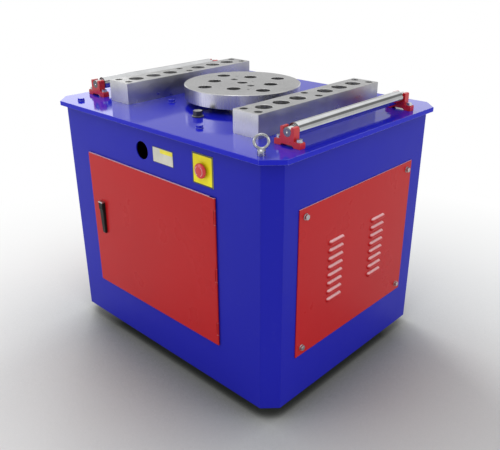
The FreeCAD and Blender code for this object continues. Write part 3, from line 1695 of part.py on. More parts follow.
def estop_plate():
    half = stop_plate_width / 2
    low = stop_z - stop_plate_height / 2
    plate = box(stop_x - half, stop_x + half, stop_face, -wall_y, low, low + stop_plate_height)
    hole = stop_barrel_radius + bolt_clearance
    return plate.cut(rod(at(stop_x, stop_face, stop_z), Y_AXIS, hole, stop_plate))


def estop_block():
    """Threaded barrel with a front collar, a nut and the contact block behind the wall."""
    front = stop_face - stop_bezel
    bore_end = stop_block_front + stop_block - stop_block_floor
    collar = rod(at(stop_x, front, stop_z), Y_AXIS, stop_bezel_radius, stop_bezel)
    barrel = rod(at(stop_x, front, stop_z), Y_AXIS, stop_barrel_radius, stop_block_front - front)
    nut = hex_head(at(stop_x, -inner_y, stop_z), Y_AXIS, stop_nut_flats, stop_nut)
    half = stop_block_half
    block = box(stop_x - half, stop_x + half, stop_block_front, stop_block_front + stop_block,
                stop_z - half, stop_z + half)
    bore = rod(at(stop_x, front, stop_z), Y_AXIS, stop_stem_radius + spindle_fit, bore_end - front)
    return joined([collar, barrel, nut, block]).cut(bore)


def estop_stem():
    tip = stop_face - stop_cap_front + stop_cap_skin + joint_gap
    end = stop_block_front + stop_block - stop_block_floor - stop_travel - stop_stem_gap
    return rod(at(stop_x, tip, stop_z), Y_AXIS, stop_stem_radius, end - tip)


def estop_cap():
    """Mushroom head with a domed face, bored from behind for the stem."""
    front = stop_face - stop_cap_front
    back = front + stop_cap_thick
    edge = stop_cap_radius
    bore = stop_stem_radius + spindle_fit
    profile = []
    for step in range(stop_dome_steps + 1):
        turn = math.pi / 2 * step / stop_dome_steps
        profile.append((edge * math.sin(turn), front + stop_dome * (1 - math.cos(turn))))
    profile += [
        (edge, back - stop_back_edge), (edge - stop_back_edge, back),
        (stop_cap_hollow_radius, back), (stop_cap_hollow_radius, back - stop_cap_hollow),
        (bore, back - stop_cap_hollow),
        (bore, front + stop_cap_skin), (0, front + stop_cap_skin),
    ]
    return turned(profile, at(stop_x, 0, stop_z), Y_AXIS)


save("table_plate", table_plate())
save("front_sheet", front_sheet())
save("rear_sheet", wall(4))
save("left_sheet", side_sheet(-1))
save("right_sheet", side_sheet(1))
save("corner_sheets", corner_sheets())
save("base_rails", base_rails())
save("frame_posts", frame_posts())
save("motor_plate", motor_plate_sheet())
save("left_louvre_panel", louvre_panel(-1))
save("right_louvre_panel", louvre_panel(1))
save("panel_screws", panel_screws())
save("left_support_bar", support_bar(-1))
save("right_support_bar", support_bar(1))
save("bar_bolts", bar_bolts())
save("left_front_bracket", bracket(-1, -1))
save("left_rear_bracket", bracket(-1, 1))
save("right_front_bracket", bracket(1, -1))
save("right_rear_bracket", bracket(1, 1))
save("bracket_bolts", bracket_bolts())
save("lifting_eye", lifting_eye())
save("filler_plug", filler_plug())
save("table_bolts", table_bolts())
save("bearing_housing", bearing_housing())
save("housing_bolts", housing_bolts())
save("shaft_bearings", shaft_bearings())
save("gearbox_case", gearbox_case())
save("gearbox_cover", gearbox_cover())
save("worm_bearing_caps", worm_bearing_caps())
save("drive_bolts", drive_bolts())
save("motor_body", motor_body())
save("motor_fan_cover", motor_fan_cover())
save("motor_terminal_box", motor_terminal_box())
save("v_belts", v_belts())
save("levelling_feet", levelling_feet())
save("electrical_box", electrical_box())
save("electrical_box_lid", electrical_box_lid())
save("contactors", contactors())
save("door_hinges", door_hinges())
save("estop_plate", estop_plate())
save("estop_block", estop_block())
save("bending_disc", bending_disc())
save("disc_bolts", disc_bolts())
save("disc_dowels", disc_dowels())
save("main_shaft", main_shaft())
save("shaft_nut", shaft_nut_ring())
save("worm_wheel_rim", worm_wheel_rim())
save("worm_wheel_hub", worm_wheel_hub())
save("worm_shaft", worm_shaft())
save("large_pulley", large_pulley())
save("motor_rotor", motor_rotor())
save("motor_fan", motor_fan())
save("small_pulley", small_pulley())
save("left_roller", roller(-1))
save("right_roller", roller(1))
save("door_panel", door_panel())
save("door_handle", door_handle())
save("latch_cam", latch_cam())
save("estop_stem", estop_stem())
save("estop_cap", estop_cap())
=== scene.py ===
import json
import math

import bmesh
import bpy
from mathutils import Matrix, Vector


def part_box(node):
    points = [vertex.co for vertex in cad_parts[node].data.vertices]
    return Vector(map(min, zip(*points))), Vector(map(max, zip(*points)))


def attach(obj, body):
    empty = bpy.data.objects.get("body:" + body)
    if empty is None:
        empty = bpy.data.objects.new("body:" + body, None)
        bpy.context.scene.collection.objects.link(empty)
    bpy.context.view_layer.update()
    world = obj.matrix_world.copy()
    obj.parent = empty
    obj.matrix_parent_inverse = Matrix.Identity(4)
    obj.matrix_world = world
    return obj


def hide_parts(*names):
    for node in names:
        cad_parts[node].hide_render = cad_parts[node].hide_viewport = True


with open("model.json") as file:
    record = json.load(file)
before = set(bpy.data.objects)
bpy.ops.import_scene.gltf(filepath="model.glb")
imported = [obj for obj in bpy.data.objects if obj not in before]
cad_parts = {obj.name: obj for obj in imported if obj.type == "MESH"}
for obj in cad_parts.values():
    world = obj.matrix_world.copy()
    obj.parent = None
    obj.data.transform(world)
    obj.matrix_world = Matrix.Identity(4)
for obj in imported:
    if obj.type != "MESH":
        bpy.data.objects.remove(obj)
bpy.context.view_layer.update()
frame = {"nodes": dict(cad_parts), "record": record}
nodes = frame["nodes"]
scene = bpy.context.scene

# Lengths are in metres and angles in degrees, unless a comment says otherwise

# Camera, solved from the picture's right angles and circles; picture in pixels, sensor in mm
CAMERA_PLACE = (1.3167, -1.3501, 1.2064)
CAMERA_YAW = 43.45
CAMERA_PITCH = -24.22
CAMERA_ROLL = -0.15
CAMERA_REACH = 60
FOCAL_PIXELS = 622.6
PICTURE_WIDTH = 500.0
PRINCIPAL_RIGHT = 1.86
PRINCIPAL_DOWN = -3.69
SENSOR = 36.0

# Colours as linear red, green, blue
TABLE_BLUE = (0.014, 0.017, 0.56, 1)
CABINET_BLUE = (0.012, 0.014, 0.43, 1)
PANEL_RED = (0.52, 0.014, 0.017, 1)
BRACKET_RED = (0.62, 0.012, 0.020, 1)
STEEL = (0.60, 0.60, 0.60, 1)
DISC_STEEL = (0.565, 0.565, 0.565, 1)
BRIGHT_STEEL = (0.72, 0.73, 0.74, 1)
DARK_STEEL = (0.11, 0.11, 0.12, 1)
PLUG_BLACK = (0.02, 0.02, 0.022, 1)
# PLUG_TOP is the painted top light of the black plug
PLUG_TOP = (0.24, 0.24, 0.25, 1)
EYE_GREY = (0.48, 0.49, 0.51, 1)
BOLT_GREY = (0.52, 0.52, 0.53, 1)
CAST_GREY = (0.12, 0.125, 0.13, 1)
PRIMER_BLUE = (0.015, 0.02, 0.07, 1)
MOTOR_GREY = (0.05, 0.09, 0.14, 1)
BRONZE = (0.55, 0.30, 0.10, 1)
BLACK = (0.012, 0.012, 0.012, 1)
RUBBER = (0.018, 0.018, 0.018, 1)
BOX_GREY = (0.38, 0.39, 0.38, 1)
IVORY = (0.60, 0.58, 0.52, 1)
SIGN_YELLOW = (0.95, 0.80, 0.02, 1)
SIGN_BORDER = (0.045, 0.05, 0.03, 1)
STOP_RED = (0.70, 0.035, 0.045, 1)
LABEL_CREAM = (0.66, 0.64, 0.55, 1)
PRINT_PINK = (0.85, 0.55, 0.58, 1)
# PALE_RED and PALE_BLUE are painted highlight tones
PALE_RED = (1.0, 0.66, 0.68, 1)
PALE_BLUE = (0.42, 0.45, 1.0, 1)
DUST_GREY = (0.5, 0.5, 0.52, 1)
FLOOR_PALE = (0.75, 0.762, 0.754, 1)
# FLOOR_SHADED is the floor's painted shadow tone
FLOOR_SHADED = (0.07, 0.074, 0.067, 1)
WHITE = (1, 1, 1, 1)

# Finishes: shares and roughness from 0 to 1, depths of the fine and the cast texture
DUST_SHARE = 0.012
PAINT_WEAR = 0.35
COAT_ROUGHNESS = 0.04
# Reach of the painted shade in closed corners
PAINTED_SHADE_REACH = 0.05
TURNED_GRAIN = 0.2
CAST_GRAIN = 0.5
CAST_METALLIC = 0.4
FINE_DEPTH = 0.0002
CAST_DEPTH = 0.0006

# Roller brackets: the ears' upper corner, and how far its top comes down
EAR_CORNER = 0.006
EAR_CUT = 0.0032

# Screws of the louvre panels; the tip is a share of the radius, the crown one of the flats
SCREW_POINTS = 48
SCREW_HEAD_SOLID = 0.005
SCREW_HEAD = 0.0066
SCREW_FLATS = 0.0140
SCREW_CROWN = 0.47
SCREW_RADIUS = 0.004
SCREW_TIP = 0.8
SCREW_CHAMFER = 0.0008
HEAD_CHAMFER = 0.0009
WASHER_RADIUS = 0.0088
WASHER_THICKNESS = 0.0016

# Door handle; each row is a height from the foot or the top, a width and a depth
HANDLE_DEPTH_SOLID = 0.012
HANDLE_CHAMFER = 0.0015
HANDLE_PIVOT_DROP = 0.015
HANDLE_FOOT = ((0.0, 0.0130, 0.0060), (0.003, 0.0148, 0.0076))
HANDLE_HEAD = ((-0.0270, 0.0190, 0.0096), (-0.0240, 0.0198, 0.0114), (0.0, 0.0198, 0.0114))
HANDLE_END = ((-0.0030, 0.0204, 0.0117), (0.0006, 0.0204, 0.0117), (0.0014, 0.0190, 0.0108))
SPINDLE_RADIUS = 0.005
SPINDLE_POINTS = 24
SPINDLE_START = 0.001

# Signs on the front; a box is left, right, bottom, top, and the band is placed from the
# label's left, right and top
CORNER_STEPS = 5
SIGN_LINE = 0.0034
SIGN_LIFT = 0.00015
SIGN_INNER_CORNER = 0.0015
SIGN_OUTER_CORNER = 0.0003
LABEL_BOX = (0.0090, 0.0945, 0.6595, 0.7035)
LABEL_CORNER = 0.0012
LABEL_MARGIN = 0.0016
LABEL_EDGE_FRONT = 0.0004
LABEL_PLATE_FRONT = 0.0008
LABEL_BAND_FRONT = 0.0010
LABEL_BAND_LEFT = 0.032
LABEL_BAND_BOTTOM = 0.0140
LABEL_BAND_MARGIN = 0.0026

# Arrows on the stop button: radii as shares of the button's, angles from the start of each arrow
ARROW_STARTS = (-60, 120)
ARROW_STEPS = 14
ARROW_SWEEP = 112
ARROW_BASE = 110
ARROW_TIP = 126
ARROW_RADIUS = 0.66
ARROW_HALF = 0.035
ARROW_HEAD = 2.5
ARROW_SUNK = 0.00055

# Floor and backdrop
FLOOR_SIZE = 14
FLOOR_ROUGHNESS = 0.6
FLOOR_SPECULAR = 0.1
SHADE_REACH = 1.2
GLOW_CENTRE = (0.50, -0.58, 0.0)
MIRRORED_GLOW = 0.4
GLOW_START = 0.80
GLOW_END = 2.15
AMBIENT = 0.55

# Backdrop in reflections on the left and on the right: sine of the angle above the horizon, grey
BACKDROP_LEFT = ((0.0, 1.0), (0.08, 0.88), (0.17, 0.62), (0.42, 0.54), (0.46, 1.0), (1.0, 1.0))
BACKDROP_RIGHT = ((0.0, 0.60), (0.24, 0.60), (0.32, 0.22), (0.56, 0.20), (0.62, 1.0), (1.0, 1.0))

# Lamps: name, place, target, width, height, radiance, whether glossy surfaces mirror them
MIDDLE = (0, 0, 0.45)
LAMPS = (
    ("key_box", (-2.9, 0.9, 3.3), MIDDLE, 2.4, 2.4, 5.2, False),
    ("top_box", (0.7, -1.5, 3.4), MIDDLE, 1.6, 1.6, 2.0, True),
    ("front_box", (-1.9, -3.2, 1.1), MIDDLE, 2.4, 1.6, 2.1, True),
    ("right_box", (3.7, 0.4, 1.1), MIDDLE, 2.4, 1.6, 2.4, True),
    ("left_strip", (-3.95, 1.37, 1.75), (-0.2, 0, 0.8), 1.72, 1.2, 1.25, True),
    ("rear_strip", (-0.9, 4.0, 1.75), (0.2, 0, 0.8), 1.6, 1.0, 0.7, True),
)


# Node trees

def scaled(colour, factor):
    """The colour made darker or lighter."""
    return tuple(min(1.0, c * factor) for c in colour[:3]) + (1.0,)


class Graph:
    """A node tree, with the kinds of node that the materials and the world are made of."""

    def __init__(self, tree):
        self.nodes = tree.nodes
        self.links = tree.links

    def feed(self, node, sockets):
        """Give each named socket a value or another node's output."""
        for key, value in sockets.items():
            if isinstance(value, bpy.types.NodeSocket):
                self.links.new(value, node.inputs[key])
            else:
                node.inputs[key].default_value = value

    def new(self, kind, sockets=None, **settings):
        """A node with its settings and sockets."""
        node = self.nodes.new(kind)
        for key, value in settings.items():
            setattr(node, key, value)
        self.feed(node, sockets or {})
        return node

    def noise(self, coordinates, scale, detail=3.0, stretch=(1, 1, 1)):
        """Noise in space, stretched along the given axes."""
        mapping = self.new("ShaderNodeMapping", {"Scale": stretch, "Vector": coordinates})
        return self.new("ShaderNodeTexNoise", {
            "Scale": scale, "Detail": detail, "Vector": mapping.outputs["Vector"],
        }).outputs["Fac"]

    def line_noise(self, along, scale, detail):
        """Noise along one number."""
        return self.new("ShaderNodeTexNoise", {"Scale": scale, "Detail": detail, "W": along},
                        noise_dimensions="1D").outputs["Fac"]

    def spread(self, value, low=0.0, high=1.0, start=0.3, end=0.7):
        """Map a value between start and end to the range from low to high."""
        return self.new("ShaderNodeMapRange", {
            "Value": value, "From Min": start, "From Max": end, "To Min": low, "To Max": high,
        }).outputs["Result"]

    def blended(self, share, first, second, data_type="RGBA"):
        """Mix two colours or numbers."""
        return self.new("ShaderNodeMix", {"Factor": share, "A": first, "B": second},
                        data_type=data_type).outputs["Result"]

    def mixed(self, share, first, second):
        """Mix two shaders."""
        return self.new("ShaderNodeMixShader", {0: share, 1: first, 2: second}).outputs[0]

    def calculated(self, operation, *values):
        """The result of an operation on one or two numbers."""
        return self.new("ShaderNodeMath", dict(enumerate(values)), operation=operation).outputs[0]

    def measured(self, operation, *vectors):
        """The number that an operation makes of one or two vectors."""
        return self.new("ShaderNodeVectorMath", dict(enumerate(vectors)),
                        operation=operation).outputs["Value"]

    def split(self, vector):
        """A vector's X, Y and Z."""
        return self.new("ShaderNodeSeparateXYZ", {0: vector}).outputs

    def normal(self):
        """The surface's true normal."""
        return self.new("ShaderNodeNewGeometry").outputs["Normal"]

    def facing_up(self, normal, side, top, start, end):
        """The top value where a surface faces up, the side value where it stands."""
        return self.spread(self.split(normal)["Z"], side, top, start, end)

    def occlusion(self, reach, samples):
        """One in the open, nought in closed corners."""
        return self.new("ShaderNodeAmbientOcclusion", {"Distance": reach},
                        samples=samples).outputs["AO"]

    def edges(self, radius):
        """One on edges, nought on flats, and the rounded normal for the shader."""
        rounded = self.new("ShaderNodeBevel", {"Radius": radius}, samples=4).outputs["Normal"]
        likeness = self.measured("DOT_PRODUCT", rounded, self.normal())
        return self.spread(likeness, low=1.0, high=0.0, start=0.75, end=0.99), rounded

    def bump(self, height, strength, distance, normal):
        """A bump over the rounded normal."""
        return self.new("ShaderNodeBump", {
            "Strength": strength, "Distance": distance, "Height": height, "Normal": normal,
        }).outputs["Normal"]

    def mottled(self, texture, colour, dark, light):
        """The colour between a darker and a lighter tone."""
        return self.blended(self.spread(texture), scaled(colour, dark), scaled(colour, light))

    def rimmed(self, mask, body, tone, share):
        """The body with another tone along its edges."""
        return self.blended(self.spread(mask, high=share, start=0.0, end=1.0), body, tone)

    def uneven(self, texture, roughness, share=0.2):
        """A roughness that varies by a share of itself."""
        return self.spread(texture, roughness * (1 - share), roughness * (1 + share))


class Finish(Graph):
    """A material with its principled shader, on the object's own coordinates."""

    def __init__(self, name):
        self.material = bpy.data.materials.new(name)
        self.material.use_nodes = True
        super().__init__(self.material.node_tree)
        self.shader = self.nodes["Principled BSDF"]
        self.place = self.new("ShaderNodeTexCoord").outputs["Object"]

    def done(self, body, roughness, normal, constants):
        """The material: what varies is linked, what is constant is set on the shader."""
        self.feed(self.shader, {"Base Color": body, "Roughness": roughness, "Normal": normal})
        self.feed(self.shader, constants)
        return self.material


# Materials

def paint(name, colour, roughness, coat=0.0, specular=0.5, peel=0.25, edge=0.0012,
          pale=None, top_highlight=0.0, line=0.0, side_specular=None, painted_shade=0.0):
    """Sprayed enamel: slow colour drift, orange peel, dull patches and worn edges.

    The pale colour is a painted highlight on upper edges and faces, or a fine painted highlight
    line along all edges.
    Painted shade darkens closed corners, and side_specular is the gloss where a surface stands.
    """
    g = Finish(name)
    body = g.mottled(g.noise(g.place, scale=3.0), colour, dark=0.97, light=1.03)
    specks = g.noise(g.place, scale=38.0, detail=8.0)
    body = g.blended(g.spread(specks, high=DUST_SHARE, start=0.60, end=0.80), body, DUST_GREY)
    mask, rounded = g.edges(edge)
    # Painted shade: closed corners, such as under the table's overhang, darken towards a dark copy
    # of the colour
    if painted_shade > 0:
        sky = g.occlusion(PAINTED_SHADE_REACH, samples=8)
        shut = g.spread(sky, low=painted_shade, high=0.0, start=0.3, end=1.0)
        body = g.blended(shut, body, scaled(colour, 0.3))
    # Painted highlight: faces and edges that face up turn towards the pale colour
    if top_highlight > 0:
        above = g.facing_up(rounded, side=0.0, top=top_highlight, start=0.3, end=0.85)
        body = g.blended(above, body, pale)
    # Painted highlight: a fine pale line along all edges
    if line > 0:
        body = g.rimmed(mask, body, pale, share=line)
    flakes = g.noise(g.place, scale=160.0, detail=4.0)
    chips = g.spread(flakes, high=PAINT_WEAR, start=0.42, end=0.62)
    body = g.blended(g.calculated("MULTIPLY", mask, chips), body, scaled(colour, 2.2))
    smudge = g.noise(g.place, scale=9.0, detail=6.0)
    dimples = g.noise(g.place, scale=420.0, detail=2.0)
    g.done(body, g.uneven(smudge, roughness, share=0.15),
           g.bump(dimples, peel, FINE_DEPTH, rounded),
           {"Specular IOR Level": specular, "Coat Weight": coat, "Coat Roughness": COAT_ROUGHNESS})
    if side_specular is not None:
        gloss = g.facing_up(g.normal(), side_specular, specular, start=0.4, end=0.9)
        g.feed(g.shader, {"Specular IOR Level": gloss})
    return g.material


def steel(name, colour, roughness, grain=(1, 1, 1), grain_scale=300.0, grain_depth=0.25,
          end_shade=1.0):
    """Machined steel: fine tool lines, faint stains, polished edges.

    Ends across Y are darker by a given factor, as painted shade.
    """
    g = Finish(name)
    stain = g.noise(g.place, scale=14.0, detail=6.0)
    body = g.mottled(stain, colour, dark=0.84, light=1.08)
    lines = g.noise(g.place, scale=grain_scale, detail=2.0, stretch=grain)
    body = g.blended(g.spread(lines, high=0.35), body, scaled(colour, 0.72))
    mask, rounded = g.edges(radius=0.0006)
    body = g.rimmed(mask, body, scaled(colour, 1.5), share=0.6)
    # Painted shade: ends that face along Y are darker
    if end_shade != 1.0:
        across = g.calculated("ABSOLUTE", g.split(g.normal())["Y"])
        body = g.blended(g.spread(across, start=0.9, end=0.97), body, scaled(colour, end_shade))
    return g.done(body, g.uneven(lines, roughness),
                  g.bump(lines, grain_depth, FINE_DEPTH, rounded), {"Metallic": 1.0})


def turned_steel(name, colour, roughness):
    """Turned steel: rings on level faces, upright streaks on the rim, painted shade underneath."""
    g = Finish(name)
    across = g.split(g.place)
    flat = g.new("ShaderNodeCombineXYZ", {"X": across["X"], "Y": across["Y"]}).outputs[0]
    rings = g.line_noise(g.measured("LENGTH", flat), scale=900.0, detail=2.0)
    angle = g.calculated("ARCTAN2", across["Y"], across["X"])
    streaks = g.line_noise(angle, scale=120.0, detail=3.0)
    facing = g.split(g.normal())["Z"]
    level = g.spread(facing, start=0.5, end=0.9)
    lines = g.blended(level, streaks, rings, data_type="FLOAT")
    stain = g.noise(g.place, scale=12.0, detail=6.0)
    body = g.mottled(stain, colour, dark=0.88, light=1.06)
    body = g.blended(g.spread(lines, high=0.3), body, scaled(colour, 0.75))
    mask, rounded = g.edges(radius=0.0007)
    body = g.rimmed(mask, body, scaled(colour, 1.5), share=0.6)
    # Painted shade: faces that point down turn nearly black
    under = g.spread(facing, low=1.0, high=0.0, start=-0.9, end=-0.6)
    body = g.blended(under, body, scaled(colour, 0.06))
    return g.done(body, g.uneven(lines, roughness),
                  g.bump(lines, TURNED_GRAIN, FINE_DEPTH, rounded), {"Metallic": 1.0})


def moulded(name, colour, roughness, coat=0.0, grain=0.15, specular=0.5):
    """Moulded plastic or rubber with a fine skin and worn-smooth patches."""
    g = Finish(name)
    drift = g.noise(g.place, scale=22.0, detail=4.0)
    body = g.mottled(drift, colour, dark=0.88, light=1.12)
    mask, rounded = g.edges(radius=0.0008)
    body = g.rimmed(mask, body, scaled(colour, 1.8), share=0.3)
    patches = g.noise(g.place, scale=60.0, detail=5.0)
    pores = g.noise(g.place, scale=900.0, detail=2.0)
    return g.done(body, g.uneven(patches, roughness),
                  g.bump(pores, grain, FINE_DEPTH, rounded),
                  {"Specular IOR Level": specular, "Coat Weight": coat})


def cast(name, colour):
    """Sand-cast iron under primer: coarse skin and darker hollows."""
    g = Finish(name)
    sand = g.noise(g.place, scale=140.0, detail=6.0)
    body = g.mottled(sand, colour, dark=0.7, light=1.25)
    mask, rounded = g.edges(radius=0.0015)
    body = g.rimmed(mask, body, scaled(colour, 2.2), share=0.4)
    return g.done(body, g.spread(sand, low=0.45, high=0.7),
                  g.bump(sand, CAST_GRAIN, CAST_DEPTH, rounded), {"Metallic": CAST_METALLIC})


MATERIALS = {
    # The table gets a painted highlight line along its edges
    "table_paint": paint("table_paint", TABLE_BLUE, 0.09, specular=0.65, peel=0.02, edge=0.0014,
                         pale=PALE_BLUE, line=0.9, side_specular=0.12),
    # The cabinet gets painted shade in its closed corners
    "cabinet_paint": paint("cabinet_paint", CABINET_BLUE, 0.34, specular=0.15, peel=0.1,
                           painted_shade=0.6),
    # The panels get a painted highlight on upper faces, edges and louvre tops
    "panel_paint": paint("panel_paint", PANEL_RED, 0.30, 0.2, specular=0.08, peel=0.06,
                         edge=0.0026, pale=PALE_RED, top_highlight=1.0),
    "bracket_paint": paint("bracket_paint", BRACKET_RED, 0.28, 0.3, peel=0.3),
    "disc_steel": turned_steel("disc_steel", DISC_STEEL, 0.27),
    "bar_steel": steel("bar_steel", STEEL, 0.34, grain=(12, 0.4, 1.0), grain_scale=60.0),
    # The rollers' ends get painted shade
    "roller_steel": steel("roller_steel", BRIGHT_STEEL, 0.06, grain=(1, 14, 1), grain_scale=40.0,
                          grain_depth=0.03, end_shade=0.25),
    "bolt_steel": steel("bolt_steel", BOLT_GREY, 0.28),
    "black_oxide": steel("black_oxide", DARK_STEEL, 0.38),
    "eye_steel": steel("eye_steel", EYE_GREY, 0.26, grain_depth=0.3),
    # The plug gets a painted top light over its black
    "grey_paint": paint("grey_paint", PLUG_BLACK, 0.30, 0.2, pale=PLUG_TOP, top_highlight=1.0),
    "cast_grey": cast("cast_grey", CAST_GREY),
    "bronze": steel("bronze", BRONZE, 0.30),
    "machined_steel": steel("machined_steel", STEEL, 0.25),
    "frame_paint": paint("frame_paint", PRIMER_BLUE, 0.5),
    "motor_paint": paint("motor_paint", MOTOR_GREY, 0.45, 0.1, peel=0.5),
    "fan_plastic": moulded("fan_plastic", BLACK, 0.5),
    "belt_rubber": moulded("belt_rubber", RUBBER, 0.75),
    "foot_rubber": moulded("foot_rubber", RUBBER, 0.8),
    "box_paint": paint("box_paint", BOX_GREY, 0.45, 0.1),
    "contactor_plastic": moulded("contactor_plastic", IVORY, 0.5),
    "handle_plastic": moulded("handle_plastic", BLACK, 0.38, specular=0.15),
    "yellow_plate": moulded("yellow_plate", SIGN_YELLOW, 0.35, 0.05, grain=0.03, specular=0.15),
    "red_plastic": moulded("red_plastic", STOP_RED, 0.22, 0.3, grain=0.05, specular=0.3),
    "black_plastic": moulded("black_plastic", BLACK, 0.45),
}

SIGN_MATERIALS = {
    "sign_border": moulded("sign_border", SIGN_BORDER, 0.4, 0.1, grain=0.03),
    "label_cream": moulded("label_cream", LABEL_CREAM, 0.35, 0.2, grain=0.03),
    "label_yellow": moulded("label_yellow", SIGN_YELLOW, 0.35, 0.2, grain=0.03),
    "print_pink": moulded("print_pink", PRINT_PINK, 0.4, 0.1, grain=0.03),
}

slot_of = {s["node"]: s["material_slot"] for s in frame["record"]["subparts"]}
for node_name, node_object in nodes.items():
    node_object.data.materials.clear()
    node_object.data.materials.append(MATERIALS[slot_of[node_name]])


# Meshes

def mesh_object(name, bm, material):
    """A flat-shaded mesh object in the scene from a bmesh."""
    mesh = bpy.data.meshes.new(name)
    bm.to_mesh(mesh)
    bm.free()
    obj = bpy.data.objects.new(name, mesh)
    scene.collection.objects.link(obj)
    mesh.materials.append(material)
    for polygon in mesh.polygons:
        polygon.use_smooth = False
    return obj


def skin(bm, rings):
    """Close a row of equal rings of points into one solid."""
    loops = [[bm.verts.new(point) for point in ring] for ring in rings]
    count = len(loops[0])
    for a, b in zip(loops, loops[1:]):
        for k in range(count):
            j = (k + 1) % count
            bm.faces.new((a[k], a[j], b[j], b[k]))
    bm.faces.new(loops[0])
    bm.faces.new(loops[-1])
    bmesh.ops.recalc_face_normals(bm, faces=bm.faces)


def islands(obj):
    """Lowest and highest corner of each separate solid in a node's mesh."""
    bm = bmesh.new()
    bm.from_mesh(obj.data)
    bmesh.ops.remove_doubles(bm, verts=bm.verts, dist=1e-6)
    left = set(bm.verts)
    boxes = []
    while left:
        group = {left.pop()}
        rim = list(group)
        while rim:
            vertex = rim.pop()
            near = {edge.other_vert(vertex) for edge in vertex.link_edges} & left
            left -= near
            group |= near
            rim.extend(near)
        low = Vector(min(v.co[k] for v in group) for k in range(3))
        high = Vector(max(v.co[k] for v in group) for k in range(3))
        boxes.append((low, high))
    bm.free()
    return boxes


def rounded_rectangle(left, right, bottom, top, radius):
    """Outline of an upright rectangle with rounded corners, as (x, z) points."""
    points = []
    for x, z, start in ((right - radius, top - radius, 0), (left + radius, top - radius, 90),
                        (left + radius, bottom + radius, 180),
                        (right - radius, bottom + radius, 270)):
        for k in range(CORNER_STEPS + 1):
            turn = math.radians(start + 90 * k / CORNER_STEPS)
            points.append((x + radius * math.cos(turn), z + radius * math.sin(turn)))
    return points


# Pieces

def build_brackets():
    """The brackets with slightly lower ears, so that the rollers stand clear above them."""
    for side in ("left", "right"):
        for end in ("front", "rear"):
            node = f"{side}_{end}_bracket"
            bm = bmesh.new()
            bm.from_mesh(nodes[node].data)
            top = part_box(node)[1].z
            for vertex in bm.verts:
                above = vertex.co.z - (top - EAR_CORNER)
                if above > 0:
                    vertex.co.z -= above * EAR_CUT / EAR_CORNER
            bracket = mesh_object(f"{node}_casting", bm, MATERIALS["bracket_paint"])
            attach(bracket, "machine_frame")
            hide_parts(node)


def screw_reach(turn, radius, hexagon):
    """Distance from a screw's middle to its rim, for a circle or a hexagon over its flats."""
    if hexagon:
        return radius / math.cos((turn + math.pi / 6) % (math.pi / 3) - math.pi / 6)
    return radius


def build_panel_screws():
    """Hexagon screws with flat washers, where the louvre panels have their screws."""
    bm = bmesh.new()
    turns = [2 * math.pi * k / SCREW_POINTS for k in range(SCREW_POINTS)]
    for low, high in islands(nodes["panel_screws"]):
        centre = (low + high) / 2
        side = math.copysign(1.0, centre.x)
        tip = min(abs(low.x), abs(high.x))
        face = max(abs(low.x), abs(high.x)) - SCREW_HEAD_SOLID
        seat = face + WASHER_THICKNESS
        rows = (
            (tip, SCREW_RADIUS * SCREW_TIP, False),
            (tip + SCREW_CHAMFER, SCREW_RADIUS, False),
            (face, SCREW_RADIUS, False),
            (face, WASHER_RADIUS, False),
            (seat, WASHER_RADIUS, False),
            (seat, SCREW_FLATS / 2, True),
            (seat + SCREW_HEAD - HEAD_CHAMFER, SCREW_FLATS / 2, True),
            (seat + SCREW_HEAD, SCREW_FLATS * SCREW_CROWN, False),
        )
        skin(bm, [[(side * x, centre.y + screw_reach(turn, radius, hexagon) * math.cos(turn),
                    centre.z + screw_reach(turn, radius, hexagon) * math.sin(turn))
                   for turn in turns] for x, radius, hexagon in rows])
    screws = mesh_object("panel_screw_heads", bm, MATERIALS["bolt_steel"])
    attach(screws, "machine_frame")
    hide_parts("panel_screws")


def handle_ring(x, back, z, width, thick):
    """Level section of the lever: flat on the door, with broken edges in front."""
    half = width / 2
    cut = HANDLE_CHAMFER
    front = back - thick
    return [(x - half, back, z), (x - half, front + cut, z), (x - half + cut, front, z),
            (x + half - cut, front, z), (x + half, front + cut, z), (x + half, back, z)]


def build_handle():
    """Square bar that tapers downwards, with a bright steel end on top as painted highlight, and
    its spindle behind.
    """
    low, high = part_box("door_handle")
    x = (low.x + high.x) / 2
    back = low.y + HANDLE_DEPTH_SOLID
    top = high.z
    bm = bmesh.new()
    skin(bm, [handle_ring(x, back, start + z, width, thick)
              for start, rows in ((low.z, HANDLE_FOOT), (top, HANDLE_HEAD))
              for z, width, thick in rows])
    turns = [2 * math.pi * k / SPINDLE_POINTS for k in range(SPINDLE_POINTS)]
    pivot = top - HANDLE_PIVOT_DROP
    skin(bm, [[(x + SPINDLE_RADIUS * math.cos(turn), y, pivot + SPINDLE_RADIUS * math.sin(turn))
               for turn in turns] for y in (back - SPINDLE_START, high.y)])
    lever = mesh_object("door_handle_lever", bm, MATERIALS["handle_plastic"])
    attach(lever, "latch")
    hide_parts("door_handle")
    # Painted highlight: a bright steel end stands for the lit top face of the lever
    bm = bmesh.new()
    skin(bm, [handle_ring(x, back, top + z, width, thick) for z, width, thick in HANDLE_END])
    end = mesh_object("door_handle_highlight_end", bm, MATERIALS["bolt_steel"])
    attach(end, "latch")


def build_sign_border():
    """Dark printed line along the edge of the yellow stop plate."""
    low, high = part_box("estop_plate")
    inner = rounded_rectangle(low.x + SIGN_LINE, high.x - SIGN_LINE, low.z + SIGN_LINE,
                              high.z - SIGN_LINE, SIGN_INNER_CORNER)
    outer = rounded_rectangle(low.x, high.x, low.z, high.z, SIGN_OUTER_CORNER)
    bm = bmesh.new()
    out = [bm.verts.new((x, low.y - SIGN_LIFT, z)) for x, z in outer]
    mid = [bm.verts.new((x, low.y - SIGN_LIFT, z)) for x, z in inner]
    for k in range(len(out)):
        j = (k + 1) % len(out)
        bm.faces.new((out[k], out[j], mid[j], mid[k]))
    border = mesh_object("stop_plate_border", bm, SIGN_MATERIALS["sign_border"])
    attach(border, "machine_frame")


